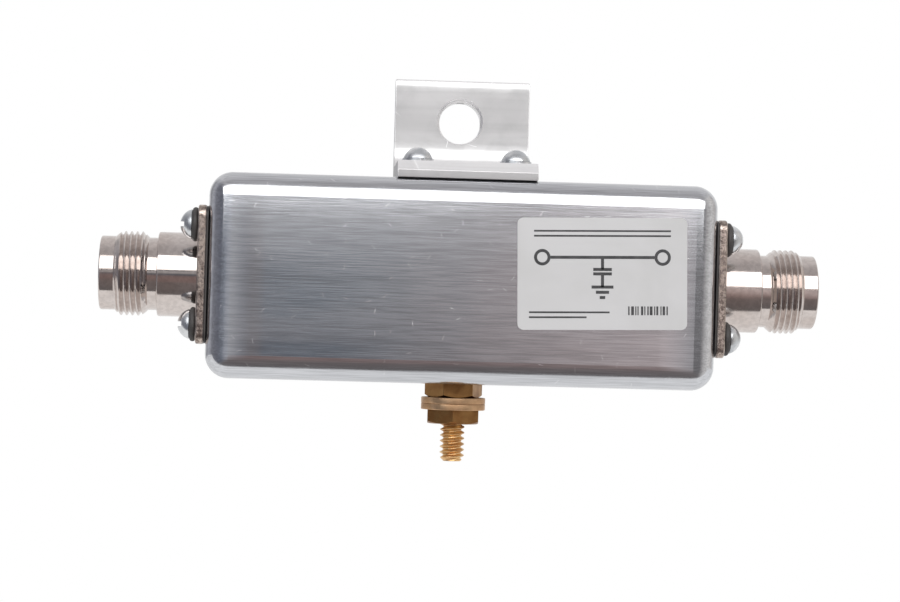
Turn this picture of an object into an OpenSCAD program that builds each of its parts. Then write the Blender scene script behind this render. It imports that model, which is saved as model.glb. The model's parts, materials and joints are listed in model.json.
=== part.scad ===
// In-line coaxial surge protector: a small cast box with a panel jack on each end,
// a wall bracket on top and a brass earth terminal below.
// Frame: the origin is the centre of the bracket's hole in the wall plane (y = 0).
// +X runs along the coaxial line, -Y is the front, +Z is up.

/* [Box] */
// Width of the box without its jacks
body_w = 93.2; // [80:0.1:120]
// Height of the box
body_h = 37.6; // [36:0.1:50]
// Depth of the box with its rear cover
body_d = 31; // [30:0.5:40]
// Thickness of the box walls
wall = 2.5; // [2:0.1:3]
// Outer radius of the box's rounded edges
edge_r = 4.3; // [3.6:0.1:5]
// Thickness of the rear cover
cover_t = 2; // [1.5:0.1:3]
// Thickness of the gasket under the rear cover
cover_gasket_t = 0.5; // [0.3:0.1:1]
// Height of the cover's locating panel
register_t = 1; // [0.7:0.1:1.5]
// Distance from the box's sides to its cover screws
cover_screw_inset = 5.2; // [5:0.1:6]
// Radius of the corner bosses for the cover screws
boss_r = 3.4; // [3.2:0.1:3.6]
// Length of the cover screws
cover_screw_l = 10; // [8:0.5:14]
// Height of the cover screws' cone heads
cover_head_h = 1.4; // [1.2:0.1:1.5]

/* [Bracket] */
// Width of the angle bracket
bracket_w = 25.8; // [24:0.1:40]
// Height of the bracket above the box
bracket_h = 20.2; // [19.5:0.1:30]
// Depth of the bracket from the wall plane to its front edge
bracket_d = 28.5; // [24:0.5:30]
// Thickness of the bracket's legs
bracket_t = 3.2; // [2.5:0.1:4]
// Radius of the inside corner of the bracket
bracket_fillet = 3.2; // [1:0.1:4]
// Radius of the rounded inner edge at each leg's end
toe_r = 2; // [0.5:0.1:2.4]
// Radius of the wall-fixing hole
hole_r = 4; // [3:0.05:5]
// Height of the wall-fixing hole above the box
hole_h = 12; // [11.2:0.1:14]
// Width of the countersunk edge of the wall-fixing hole
hole_chamfer = 0.4; // [0.2:0.1:0.8]
// Distance of the bracket's middle from its wall-fixing hole
bracket_x = 0.4; // [0:0.1:1]
// Distance of the middle of its two screws from the hole
bracket_screw_x = 0.7; // [0:0.1:1]
// Spacing of the bracket's screws
bracket_screw_pitch = 18.3; // [16:0.1:19]
// Distance of the bracket's screws from the wall plane
bracket_screw_y = 17.5; // [14:0.5:20]
// Thickness of the lock washers under the bracket's screws
lock_washer_t = 0.8; // [0.5:0.1:1.2]

/* [Jacks] */
// Width of the square flange
flange_w = 25.4; // [25:0.1:26]
// Thickness of the flange
flange_t = 1.6; // [1.2:0.1:2.5]
// Corner radius of the flange
flange_corner_r = 2; // [1:0.1:3]
// Thickness of the gasket behind the flange
flange_gasket_t = 0.3; // [0.2:0.1:1]
// Spacing of the flange's screws
flange_pitch = 18.26; // [17.8:0.01:18.4]
// Length from the flange's face to the tip
jack_l = 18.25; // [18:0.05:24]
// Radius of the plain barrel next to the flange
barrel_r = 7.95; // [7.8:0.05:8.4]
// Length of the plain barrel
barrel_l = 8; // [7.5:0.1:9.5]
// Radius of the neck behind the thread
neck_r = 6.75; // [6.5:0.05:7.2]
// Length of the neck
neck_l = 1.25; // [1:0.05:2]
// Outside diameter of the coupling thread
coupling_d = 15.875; // [15:0.005:17]
// Length of the coupling thread
coupling_l = 4.1; // [3.5:0.1:4.6]
// Radius of the smooth front rim
rim_r = 6.95; // [6.8:0.05:7.3]
// Radius of the socket in the jack's mouth
socket_r = 4.05; // [3.8:0.05:4.4]
// Depth of the socket
socket_l = 9.2; // [8:0.1:10]
// Radius of the insulator
insulator_r = 3.5; // [3.2:0.05:3.7]
// Radius of the spigot that passes through the box wall
spigot_r = 5.95; // [5.2:0.05:7]
// Radius of the centre contact
contact_r = 1.52; // [1.3:0.02:1.8]
// Radius of the hole in the centre contact
contact_bore_r = 0.84; // [0.6:0.02:1]
// Distance of the centre contact behind the tip
contact_recess = 5; // [4.6:0.1:6]
// Width of the slots in the centre contact
contact_slot_w = 0.3; // [0.2:0.05:0.5]
// Radius of the contact's solder tail
tail_r = 0.8; // [0.5:0.05:1]
// Length of the solder tail behind the insulator
tail_l = 5.5; // [4:0.5:8]
// Length of the spigot inside the box
spigot_out = 1.5; // [1:0.1:2.5]
// Length of the insulator behind the spigot
insulator_out = 1; // [0.5:0.1:2]
// Width of the turned edges at the barrel's front and at the tip
turned_edge = 0.3; // [0.2:0.1:0.5]
// Outer radius of the rubber sealing washers
seal_r = 3.15; // [2.9:0.05:3.4]
// Thickness of the rubber sealing washers
seal_t = 1.1; // [0.8:0.1:1.5]

/* [Small screws] */
// Radius of the screws' shanks
screw_r = 1.5; // [1.3:0.05:1.6]
// Radius of the round heads
head_r = 2.75; // [2.5:0.05:3]
// Height of the round heads
head_h = 2.25; // [1.8:0.05:2.6]
// Width of the driver slots
slot_w = 0.9; // [0.6:0.1:1.2]
// Depth of the driver slots
slot_l = 0.8; // [0.5:0.1:1.1]
// Width across the flats of the bracket's nuts
small_nut_af = 5.5; // [5:0.1:6]
// Height of the bracket's nuts
small_nut_h = 2.4; // [2:0.1:3]
// Length of thread that stands out past its nut or wall
thread_end = 0.8; // [0.5:0.1:1.2]

/* [Earth terminal] */
// Diameter of the earth bolt
bolt_d = 4.76; // [4:0.02:6]
// Length of the earth bolt below the box
bolt_l = 14.6; // [14:0.1:20]
// Distance of the earth bolt from the middle of the box
bolt_x = -0.5; // [-2:0.1:2]
// Width of the turned edge at the bolt's end
bolt_chamfer = 0.5; // [0.3:0.1:0.8]
// Width across the flats of the outer nuts
nut_af = 9.5; // [9:0.1:12]
// Height of the nut that fixes the bolt to the box
fixing_nut_h = 2.7; // [2.5:0.1:4]
// Height of the nut that clamps the earth lead
clamp_nut_h = 2.6; // [2:0.1:3.2]
// Turn of the fixing nut about its axis
fixing_nut_turn = 7; // [0:1:60]
// Turn of the clamp nut about its axis
clamp_nut_turn = 31; // [0:1:60]
// Outer radius of the brass washers
washer_r = 6; // [5.8:0.05:7]
// Thickness of each brass washer
washer_t = 1.15; // [0.8:0.05:1.6]
// Width across the flats of the bolt's head inside the box
bolt_head_af = 8; // [7:0.1:9]
// Height of the bolt's head
bolt_head_h = 2.6; // [2:0.1:2.8]
// Thickness of the earth strap
strap_t = 0.6; // [0.4:0.1:1]
// Width of the earth strap
strap_w = 4; // [3:0.5:5]

/* [Circuit] */
// Thickness of the circuit board
board_t = 1.6; // [1:0.1:2]
// Room between the circuit board and the top and bottom of the box inside
board_room = 4.3; // [4:0.1:6]
// Length of each tail that lies on the board
tail_overlap = 2.4; // [1.5:0.1:3]
// Distance from the board's ends to its screws
board_screw_inset = 5; // [4:0.5:8]
// Radius of the board's pillars
pillar_r = 2.6; // [2.3:0.1:3]
// Radius of the board's screws
board_screw_r = 1.25; // [1:0.05:1.3]
// Height of the board screws' heads
board_screw_head_h = 1.5; // [1:0.1:2]
// Length of the board's screws in their pillars
board_screw_bite = 5; // [4:0.5:6]
// Thickness of the copper tracks
track_t = 0.15; // [0.1:0.05:0.3]
// Width of the signal tracks
track_w = 3; // [2:0.1:4]
// Gap in the signal line under the capacitor
track_gap = 4; // [3:0.5:5]
// Length of each end of the capacitor that lies on its track
capacitor_pad = 1.5; // [1:0.1:2]
// Width of the capacitor
capacitor_w = 5; // [3:0.5:6]
// Height of the capacitor
capacitor_h = 3; // [2:0.5:4]
// Distance of the gas tube and of the coil from the middle
part_x = 15; // [13:0.5:17]
// Radius of the gas tube
tube_r = 4; // [3:0.1:4]
// Length of the gas tube
tube_l = 5; // [4.5:0.1:5]
// Thickness of the gas tube's end electrodes
electrode_t = 0.8; // [0.5:0.1:1.2]
// Radius of the gas tube's leads
lead_r = 0.4; // [0.3:0.05:0.5]
// Radius of the coil to the middle of its wire
coil_r = 2.4; // [2:0.1:3]
// Radius of the coil's wire
wire_r = 0.35; // [0.25:0.05:0.4]
// Number of turns in the coil
coil_turns = 4; // [3:1:4]
// Rise of the coil in one turn
coil_pitch = 1; // [0.9:0.05:1.05]

/* [Label] */
// Width of the label
label_w = 31; // [24:0.5:32]
// Height of the label
label_h = 20.4; // [15:0.1:22]
// Thickness of the label
label_t = 0.15; // [0.1:0.05:0.3]
// Corner radius of the label
label_corner_r = 1.1; // [0.5:0.1:2]
// Distance of the label from the middle of the front face
label_x = 25.2; // [20:0.1:26]
// Height of the label above the middle of the front face
label_z = 2.1; // [-3:0.1:3]
// Turn of the label, which was stuck on by hand
label_turn = 1.5; // [-3:0.1:3]

/* [Fits] */
// Clearance round a thread or a shank in its own hole
thread_gap = 0.05; // [0.02:0.01:0.1]
// Clearance round a washer on the earth bolt
washer_gap = 0.08; // [0.03:0.01:0.1]
// Clearance round pieces that drop into place
loose_gap = 0.2; // [0.1:0.05:0.3]

/* [Hidden] */
$fn = 64;

// A cutter reaches this far past the faces that it cuts
past = 1;

// Heights and depths that the pieces share
top_z = -hole_h;
axis_z = top_z - body_h / 2;
bottom_z = top_z - body_h;
axis_y = -body_d / 2;
front_y = -body_d;
rim_y = -(cover_t + cover_gasket_t);
housing_d = body_d - cover_t - cover_gasket_t;
inner_r = edge_r - wall;

// Jack stations along its own axis, from the flange's outer face
flange_x = body_w / 2 + flange_gasket_t + flange_t;
coupling_r = coupling_d / 2;
coupling_start = barrel_l + neck_l + coupling_r - neck_r;
coupling_end = coupling_start + coupling_l;
rim_start = coupling_end + coupling_r - rim_r;
socket_floor = jack_l - socket_l;
wall_inside = -(flange_t + flange_gasket_t + wall);
spigot_end = wall_inside - spigot_out;
insulator_end = spigot_end - insulator_out;
tail_end = insulator_end - tail_l;

// Circuit stations
board_h = body_h - 2 * wall - 2 * board_room;
board_y = axis_y - tail_r - track_t;
track_y = board_y + track_t;
board_w = 2 * (flange_x + tail_end + tail_overlap);
board_screw_x = board_w / 2 - board_screw_inset;
board_screw_z = board_h / 2 - pillar_r - loose_gap;
earth_track_z = -(board_h / 2 - 1 - track_w / 2);
part_z = earth_track_z / 2;

// Earth terminal stations, down from the box's underside
strap_z = bottom_z + wall;
fixing_nut_z = bottom_z - fixing_nut_h;
upper_washer_z = fixing_nut_z - washer_t;
lower_washer_z = upper_washer_z - washer_t;
clamp_nut_z = lower_washer_z - clamp_nut_h;
bolt_r = bolt_d / 2;

module four_corners(x, z) {
    for (sx = [-1, 1], sz = [-1, 1]) translate([sx * x, 0, sz * z]) children();
}

// A plate that is centred in X and Z, with its rear face on y = 0 and its front at -t
module rounded_plate(w, h, t, r) {
    rotate([90, 0, 0]) {
        translate([-w / 2 + r, -h / 2, 0]) cube([w - 2 * r, h, t]);
        translate([-w / 2, -h / 2 + r, 0]) cube([w, h - 2 * r, t]);
        for (sx = [-1, 1], sz = [-1, 1])
            translate([sx * (w / 2 - r), sz * (h / 2 - r), 0]) cylinder(r = r, h = t);
    }
}

// A block like rounded_plate whose front edges and corners are round as well
module rounded_block(w, h, d, r) {
    rounded_plate(w, h, d - r, r);
    translate([-w / 2 + r, -d, -h / 2 + r]) cube([w - 2 * r, r, h - 2 * r]);
    translate([0, -d + r, 0]) {
        for (sz = [-1, 1]) translate([-w / 2 + r, 0, sz * (h / 2 - r)])
            rotate([0, 90, 0]) cylinder(r = r, h = w - 2 * r);
        for (sx = [-1, 1]) translate([sx * (w / 2 - r), 0, -h / 2 + r])
            cylinder(r = r, h = h - 2 * r);
        four_corners(w / 2 - r, h / 2 - r) sphere(r = r);
    }
}

// A round-head screw that stands on z = 0, with its slot along Y
module round_screw(shank_l) {
    dome_r = (head_r * head_r + head_h * head_h) / (2 * head_h);
    difference() {
        intersection() {
            translate([0, 0, head_h - dome_r]) sphere(r = dome_r);
            cylinder(r = head_r + past, h = head_h + past);
        }
        translate([-slot_w / 2, -head_r - past, head_h - slot_l])
            cube([slot_w, 2 * (head_r + past), slot_l + past]);
    }
    translate([0, 0, -shank_l]) cylinder(r = screw_r, h = shank_l);
}

// A six-sided prism on z = 0 whose corners are turned off at both ends
module hex_block(af, h, turn) {
    corner_r = af / 2 / cos(30);
    face_r = af / 2 * 0.97;
    bevel_h = (corner_r - face_r) * tan(30);
    intersection() {
        rotate([0, 0, turn]) cylinder(r = corner_r, h = h, $fn = 6);
        rotate_extrude() polygon([
            [0, 0], [face_r, 0], [corner_r, bevel_h],
            [corner_r, h - bevel_h], [face_r, h], [0, h]
        ]);
    }
}

module hex_nut(af, h, r, turn) {
    difference() {
        hex_block(af, h, turn);
        translate([0, 0, -past]) cylinder(r = r, h = h + 2 * past);
    }
}

// Cast box, open at the back
module housing() {
    color([0.72, 0.73, 0.76]) difference() {
        translate([0, rim_y, axis_z]) union() {
            difference() {
                rounded_block(body_w, body_h, housing_d, edge_r);
                translate([0, past, 0])
                    rounded_block(body_w - 2 * wall, body_h - 2 * wall, housing_d - wall + past, inner_r);
            }
            housing_posts();
        }
        for (side = [-1, 1]) jack_frame(side) {
            translate([0, 0, wall_inside - past])
                cylinder(r = spigot_r + loose_gap / 2, h = wall + 2 * past);
            flange_corners() translate([0, 0, wall_inside - past])
                cylinder(r = screw_r + thread_gap, h = wall + 2 * past);
        }
        bracket_screw_places() translate([0, 0, top_z - wall - past])
            cylinder(r = screw_r + loose_gap, h = wall + 2 * past);
        translate([bolt_x, axis_y, bottom_z - past]) cylinder(r = bolt_r + thread_gap, h = wall + 2 * past);
    }
}

// Corner bosses for the cover screws, and pillars for the circuit board
module housing_posts() {
    floor_y = -(housing_d - wall);
    difference() {
        cover_screw_places() rotate([90, 0, 0]) cylinder(r = boss_r, h = housing_d - wall);
        cover_screw_places() translate([0, past, 0]) rotate([90, 0, 0])
            cylinder(r = screw_r + thread_gap, h = cover_screw_l + past);
    }
    pillar_l = board_y - board_t - rim_y - floor_y;
    difference() {
        four_corners(board_screw_x, board_screw_z) translate([0, floor_y, 0])
            rotate([-90, 0, 0]) cylinder(r = pillar_r, h = pillar_l);
        four_corners(board_screw_x, board_screw_z) translate([0, floor_y + pillar_l + past, 0])
            rotate([90, 0, 0]) cylinder(r = board_screw_r + thread_gap, h = board_screw_bite + 2 * past);
    }
}

module cover_screw_places() {
    four_corners(body_w / 2 - cover_screw_inset, body_h / 2 - cover_screw_inset) children();
}

// The countersunk shape of a cover screw, grown by a gap, with its head's face on y = 0
module countersunk(gap, l) {
    rotate([90, 0, 0]) {
        cylinder(r1 = head_r + gap, r2 = screw_r + gap, h = cover_head_h);
        cylinder(r = screw_r + gap, h = l);
    }
}

module rear_cover() {
    color([0.70, 0.71, 0.73]) translate([0, 0, axis_z]) difference() {
        union() {
            rounded_plate(body_w, body_h, cover_t, edge_r);
            difference() {
                rounded_plate(body_w - 2 * (wall + loose_gap), body_h - 2 * (wall + loose_gap),
                    cover_t + register_t, inner_r);
                cover_screw_places() translate([0, -cover_t, 0]) rotate([90, 0, 0])
                    cylinder(r = boss_r + loose_gap, h = register_t + past);
            }
        }
        cover_screw_places() countersunk(thread_gap, cover_t + past);
    }
}

module cover_gasket() {
    color([0.10, 0.10, 0.10]) translate([0, -cover_t, axis_z]) difference() {
        rounded_plate(body_w - 2 * loose_gap, body_h - 2 * loose_gap, cover_gasket_t, edge_r);
        difference() {
            translate([0, past, 0])
                rounded_plate(body_w - 2 * wall, body_h - 2 * wall, cover_gasket_t + 2 * past, inner_r);
            cover_screw_places() translate([0, 2 * past, 0]) rotate([90, 0, 0])
                cylinder(r = boss_r, h = cover_gasket_t + 4 * past);
        }
        cover_screw_places() translate([0, past, 0]) rotate([90, 0, 0])
            cylinder(r = screw_r + loose_gap, h = cover_gasket_t + 2 * past);
    }
}

module cover_screws() {
    color([0.74, 0.75, 0.76]) translate([0, 0, axis_z]) cover_screw_places() difference() {
        countersunk(0, cover_screw_l);
        translate([-slot_w / 2, -slot_l, -head_r - past]) cube([slot_w, slot_l + past, 2 * (head_r + past)]);
    }
}

module bracket_screw_places() {
    for (side = [-1, 1])
        translate([bracket_screw_x + side * bracket_screw_pitch / 2, -bracket_screw_y, 0]) children();
}

// Section of the angle in Y and Z, extruded along X
module bracket_section() {
    difference() {
        union() {
            translate([-bracket_d, 0]) square([bracket_d, bracket_t]);
            translate([-bracket_t, 0]) square([bracket_t, bracket_h]);
            translate([-bracket_t - bracket_fillet, bracket_t]) difference() {
                square(bracket_fillet);
                translate([0, bracket_fillet]) circle(r = bracket_fillet);
            }
        }
        for (place = [[-bracket_d, bracket_t], [-bracket_t, bracket_h]])
            translate([place[0], place[1] - toe_r]) difference() {
                translate([-past, 0]) square([toe_r + past, toe_r + past]);
                translate([toe_r, 0]) circle(r = toe_r);
            }
    }
}

module mounting_bracket() {
    color([0.82, 0.82, 0.83]) difference() {
        translate([bracket_x - bracket_w / 2, 0, top_z]) rotate([90, 0, 90])
            linear_extrude(bracket_w) bracket_section();
        translate([0, past, 0]) rotate([90, 0, 0]) cylinder(r = hole_r, h = bracket_t + 2 * past);
        translate([0, -bracket_t + hole_chamfer, 0]) rotate([90, 0, 0])
            cylinder(r1 = hole_r, r2 = hole_r + hole_chamfer + past, h = hole_chamfer + past);
        bracket_screw_places() translate([0, 0, top_z - past])
            cylinder(r = screw_r + loose_gap, h = bracket_t + 2 * past);
    }
}

module bracket_screws() {
    stack = lock_washer_t + bracket_t + wall + small_nut_h;
    color([0.74, 0.75, 0.76]) bracket_screw_places() translate([0, 0, top_z + bracket_t + lock_washer_t])
        round_screw(stack + thread_end);
}

// Split washers
module bracket_lock_washers() {
    color([0.66, 0.66, 0.68]) bracket_screw_places() translate([0, 0, top_z + bracket_t]) difference() {
        cylinder(r = head_r + loose_gap, h = lock_washer_t);
        translate([0, 0, -past]) cylinder(r = screw_r + loose_gap / 2, h = lock_washer_t + 2 * past);
        rotate([0, 0, 35]) translate([0, -slot_w / 4, -past]) cube([head_r + past, slot_w / 2, lock_washer_t + 2 * past]);
    }
}

module bracket_nuts() {
    color([0.74, 0.75, 0.76]) bracket_screw_places() translate([0, 0, top_z - wall - small_nut_h])
        hex_nut(small_nut_af, small_nut_h, screw_r + thread_gap, 30);
}

// Places a jack's own frame: its flange's face on z = 0, and its tip along +z
module jack_frame(side) {
    translate([side * flange_x, axis_y, axis_z]) rotate([0, side * 90, 0]) children();
}

module flange_corners() {
    for (sx = [-1, 1], sy = [-1, 1]) translate([sx * flange_pitch / 2, sy * flange_pitch / 2, 0]) children();
}

// Square plate of the flange's outline between two heights
module flange_plate(w, low, high) {
    translate([0, 0, low]) rotate([-90, 0, 0]) rounded_plate(w, w, high - low, flange_corner_r);
}

// One turned piece with its square flange, a round barrel, a coupling thread and a smooth rim
module jack_body(side) {
    color([0.74, 0.70, 0.66]) jack_frame(side) difference() {
        union() {
            flange_plate(flange_w, -flange_t, 0);
            rotate_extrude() polygon([
                [0, spigot_end], [spigot_r, spigot_end], [spigot_r, -flange_t / 2], [barrel_r, -flange_t / 2],
                [barrel_r, barrel_l - turned_edge], [barrel_r - turned_edge, barrel_l], [neck_r, barrel_l],
                [neck_r, barrel_l + neck_l], [coupling_r, coupling_start], [coupling_r, coupling_end],
                [rim_r, rim_start], [rim_r, jack_l - turned_edge], [rim_r - turned_edge, jack_l], [0, jack_l]
            ]);
        }
        translate([0, 0, socket_floor]) cylinder(r = socket_r, h = socket_l + past);
        translate([0, 0, spigot_end - past])
            cylinder(r = insulator_r + thread_gap, h = socket_floor - spigot_end + 2 * past);
        flange_corners() translate([0, 0, -flange_t - past])
            cylinder(r = screw_r + loose_gap, h = flange_t + 2 * past);
    }
}

module insulator(side) {
    color([0.93, 0.93, 0.91]) jack_frame(side) difference() {
        translate([0, 0, insulator_end]) cylinder(r = insulator_r, h = socket_floor - insulator_end);
        translate([0, 0, insulator_end - past])
            cylinder(r = contact_r + thread_gap, h = socket_floor - insulator_end + 2 * past);
    }
}

// Female contact with four sprung fingers in front and a solder tail behind
module centre_contact(side) {
    tip = jack_l - contact_recess;
    fingers_l = tip - socket_floor;
    color([0.85, 0.68, 0.32]) jack_frame(side) difference() {
        union() {
            translate([0, 0, insulator_end]) cylinder(r = contact_r, h = tip - insulator_end);
            translate([0, 0, tail_end]) cylinder(r = tail_r, h = tail_l + past);
        }
        translate([0, 0, tip - fingers_l]) cylinder(r = contact_bore_r, h = fingers_l + past);
        for (turn = [45, 135]) rotate([0, 0, turn])
            translate([-contact_r - past, -contact_slot_w / 2, socket_floor + contact_slot_w])
                cube([2 * (contact_r + past), contact_slot_w, fingers_l + past]);
    }
}

module flange_gasket(side) {
    color([0.12, 0.12, 0.11]) jack_frame(side) difference() {
        flange_plate(flange_w - 2 * loose_gap, -flange_t - flange_gasket_t, -flange_t);
        translate([0, 0, -flange_t - flange_gasket_t - past])
            cylinder(r = spigot_r + loose_gap, h = flange_gasket_t + 2 * past);
        flange_corners() translate([0, 0, -flange_t - flange_gasket_t - past])
            cylinder(r = screw_r + loose_gap, h = flange_gasket_t + 2 * past);
    }
}

module flange_screws(side) {
    stack = seal_t + flange_t + flange_gasket_t + wall;
    color([0.76, 0.78, 0.80]) jack_frame(side) flange_corners()
        translate([0, 0, seal_t]) round_screw(stack + thread_end);
}

// Rubber washers with a round outer edge
module sealing_washers(side) {
    color([0.13, 0.13, 0.13]) jack_frame(side) flange_corners() rotate_extrude() {
        translate([screw_r + loose_gap / 2, 0]) square([seal_r - seal_t / 2 - screw_r - loose_gap / 2, seal_t]);
        translate([seal_r - seal_t / 2, seal_t / 2]) circle(d = seal_t);
    }
}

// Hex-head bolt: its head clamps the strap inside, and its thread passes down through the box
module earth_bolt() {
    head_z = strap_z + strap_t;
    tip_z = bottom_z - bolt_l;
    color([0.78, 0.60, 0.32]) translate([bolt_x, axis_y, 0]) {
        translate([0, 0, head_z]) hex_block(bolt_head_af, bolt_head_h, 0);
        rotate_extrude() polygon([
            [0, tip_z], [bolt_r - bolt_chamfer, tip_z], [bolt_r, tip_z + bolt_chamfer],
            [bolt_r, head_z + bolt_head_h / 2], [0, head_z + bolt_head_h / 2]
        ]);
    }
}

// Tinned strap: an eye under the bolt's head, and a tab that rises to the earth track
module earth_strap() {
    eye_r = bolt_head_af / 2 / cos(30);
    tab_x = bolt_x + eye_r + loose_gap;
    tab_top = axis_z + earth_track_z + track_w / 2;
    color([0.72, 0.70, 0.66]) {
        difference() {
            union() {
                translate([bolt_x, axis_y, strap_z]) cylinder(r = eye_r, h = strap_t);
                translate([bolt_x, track_y, strap_z]) cube([tab_x - bolt_x + strap_w, strap_w, strap_t]);
            }
            translate([bolt_x, axis_y, strap_z - past]) cylinder(r = bolt_r + thread_gap, h = strap_t + 2 * past);
        }
        translate([tab_x, track_y, strap_z]) cube([strap_w, strap_t, tab_top - strap_z]);
    }
}

module earth_fixing_nut() {
    color([0.55, 0.42, 0.24]) translate([bolt_x, axis_y, fixing_nut_z])
        hex_nut(nut_af, fixing_nut_h, bolt_r + thread_gap, fixing_nut_turn);
}

module brass_washer(z) {
    color([0.66, 0.45, 0.30]) translate([bolt_x, axis_y, z]) difference() {
        cylinder(r = washer_r, h = washer_t);
        translate([0, 0, -past]) cylinder(r = bolt_r + washer_gap, h = washer_t + 2 * past);
    }
}

module earth_upper_washer() {
    brass_washer(upper_washer_z);
}

module earth_lower_washer() {
    brass_washer(lower_washer_z);
}

module earth_clamp_nut() {
    color([0.58, 0.45, 0.26]) translate([bolt_x, axis_y, clamp_nut_z])
        hex_nut(nut_af, clamp_nut_h, bolt_r + thread_gap, clamp_nut_turn);
}

module circuit_board() {
    color([0.16, 0.36, 0.20]) translate([0, 0, axis_z]) difference() {
        translate([-board_w / 2, board_y - board_t, -board_h / 2]) cube([board_w, board_t, board_h]);
        four_corners(board_screw_x, board_screw_z) translate([0, board_y + past, 0])
            rotate([90, 0, 0]) cylinder(r = board_screw_r + loose_gap, h = board_t + 2 * past);
        cover_screw_places() translate([0, board_y + past, 0])
            rotate([90, 0, 0]) cylinder(r = boss_r + 2 * loose_gap, h = board_t + 2 * past);
    }
}

module signal_tracks() {
    color([0.80, 0.52, 0.34]) for (side = [-1, 1])
        translate([side * (board_w + track_gap) / 4, board_y + track_t / 2, axis_z])
            cube([(board_w - track_gap) / 2, track_t, track_w], center = true);
}

module earth_track() {
    color([0.80, 0.52, 0.34]) translate([0, board_y + track_t / 2, axis_z + earth_track_z])
        cube([2 * (part_x + track_w), track_t, track_w], center = true);
}

module board_screws() {
    color([0.74, 0.75, 0.76]) translate([0, board_y, axis_z]) four_corners(board_screw_x, board_screw_z)
        rotate([-90, 0, 0]) {
            cylinder(r = pillar_r - loose_gap, h = board_screw_head_h);
            translate([0, 0, -board_t - board_screw_bite])
                cylinder(r = board_screw_r, h = board_t + board_screw_bite + board_screw_head_h / 2);
        }
}

// Ceramic ring of the gas tube, lying on the board with its axis upright
module gas_tube_ceramic() {
    ring_l = tube_l - 2 * electrode_t;
    color([0.92, 0.90, 0.86]) translate([-part_x, track_y + tube_r, axis_z + part_z - ring_l / 2])
        cylinder(r = tube_r, h = ring_l);
}

// Two end electrodes, each with a lead that bends down to its track
module gas_tube_electrodes() {
    color([0.78, 0.76, 0.72]) for (side = [-1, 1]) translate([-part_x, track_y, axis_z + part_z]) {
        inner = tube_l / 2 - electrode_t;
        reach = abs(part_z);
        translate([0, tube_r, side > 0 ? inner : -inner - electrode_t]) cylinder(r = tube_r, h = electrode_t);
        translate([0, tube_r, side > 0 ? inner : -reach]) cylinder(r = lead_r, h = reach - inner);
        translate([0, tube_r, side * reach]) {
            sphere(r = lead_r);
            rotate([90, 0, 0]) cylinder(r = lead_r, h = tube_r);
        }
    }
}

module coupling_capacitor() {
    color([0.62, 0.50, 0.36]) translate([0, track_y + capacitor_h / 2, axis_z])
        cube([track_gap + 2 * capacitor_pad, capacitor_h, capacitor_w], center = true);
}

// Route of the coil's wire: along the upper track, round its turns and on to the lower track
function coil_point(a) = [coil_r * sin(a), -coil_r * cos(a), -coil_pitch * (a / 360 - coil_turns / 2)];
function coil_route(reach) = concat(
    [[0, -coil_r, reach]],
    [for (a = [0 : 18 : 360 * coil_turns]) coil_point(a)],
    [[0, -coil_r, -reach]]
);

// A round tube along a route that mostly goes round the Z axis
module wire_tube(route, r, sides) {
    count = len(route);
    rings = [for (i = [0 : count - 1])
        let (ahead = route[min(i + 1, count - 1)] - route[max(i - 1, 0)],
             along = ahead / norm(ahead),
             side = cross(along, abs(along[2]) > 0.8 ? [1, 0, 0] : [0, 0, 1]),
             u = side / norm(side),
             v = cross(along, u))
        for (k = [0 : sides - 1]) route[i] + r * (cos(360 * k / sides) * u + sin(360 * k / sides) * v)];
    walls = [for (i = [0 : count - 2], k = [0 : sides - 1])
        [i * sides + k, i * sides + (k + 1) % sides, (i + 1) * sides + (k + 1) % sides, (i + 1) * sides + k]];
    polyhedron(points = rings, faces = concat(walls,
        [[for (k = [sides - 1 : -1 : 0]) k]], [[for (k = [0 : sides - 1]) (count - 1) * sides + k]]), convexity = 6);
}

module drain_coil() {
    color([0.78, 0.46, 0.26]) translate([part_x, track_y + coil_r + wire_r, axis_z + part_z])
        wire_tube(coil_route(abs(part_z)), wire_r, 8);
}

// Blank label, stuck on slightly askew
module front_label() {
    color([0.86, 0.86, 0.85]) translate([label_x, front_y, axis_z + label_z]) rotate([0, -label_turn, 0])
        rounded_plate(label_w, label_h, label_t, label_corner_r);
}

housing();
rear_cover();
cover_gasket();
cover_screws();
mounting_bracket();
bracket_screws();
bracket_lock_washers();
bracket_nuts();
jack_body(-1);  // left_jack_body
insulator(-1);  // left_insulator
centre_contact(-1);  // left_centre_contact
flange_gasket(-1);  // left_flange_gasket
flange_screws(-1);  // left_flange_screws
sealing_washers(-1);  // left_sealing_washers
jack_body(1);  // right_jack_body
insulator(1);  // right_insulator
centre_contact(1);  // right_centre_contact
flange_gasket(1);  // right_flange_gasket
flange_screws(1);  // right_flange_screws
sealing_washers(1);  // right_sealing_washers
earth_bolt();
earth_strap();
earth_fixing_nut();
earth_upper_washer();
earth_lower_washer();
earth_clamp_nut();
circuit_board();
signal_tracks();
earth_track();
board_screws();
gas_tube_ceramic();
gas_tube_electrodes();
coupling_capacitor();
drain_coil();
front_label();
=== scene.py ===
"""Looks of a small in-line coaxial surge protector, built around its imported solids.

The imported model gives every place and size. Pieces whose surface needs more than a finish, such as
the jacks with their coupling threads, are modelled here and stand in for their solids.
Lengths are in metres. +X runs along the coaxial line, -Y is the front and +Z is up.
"""

from __future__ import annotations

import json
import logging
import math
from dataclasses import dataclass, field
from enum import Enum
from typing import Any, Iterable, Sequence

import bmesh
import bpy
from mathutils import Matrix, Vector

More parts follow.
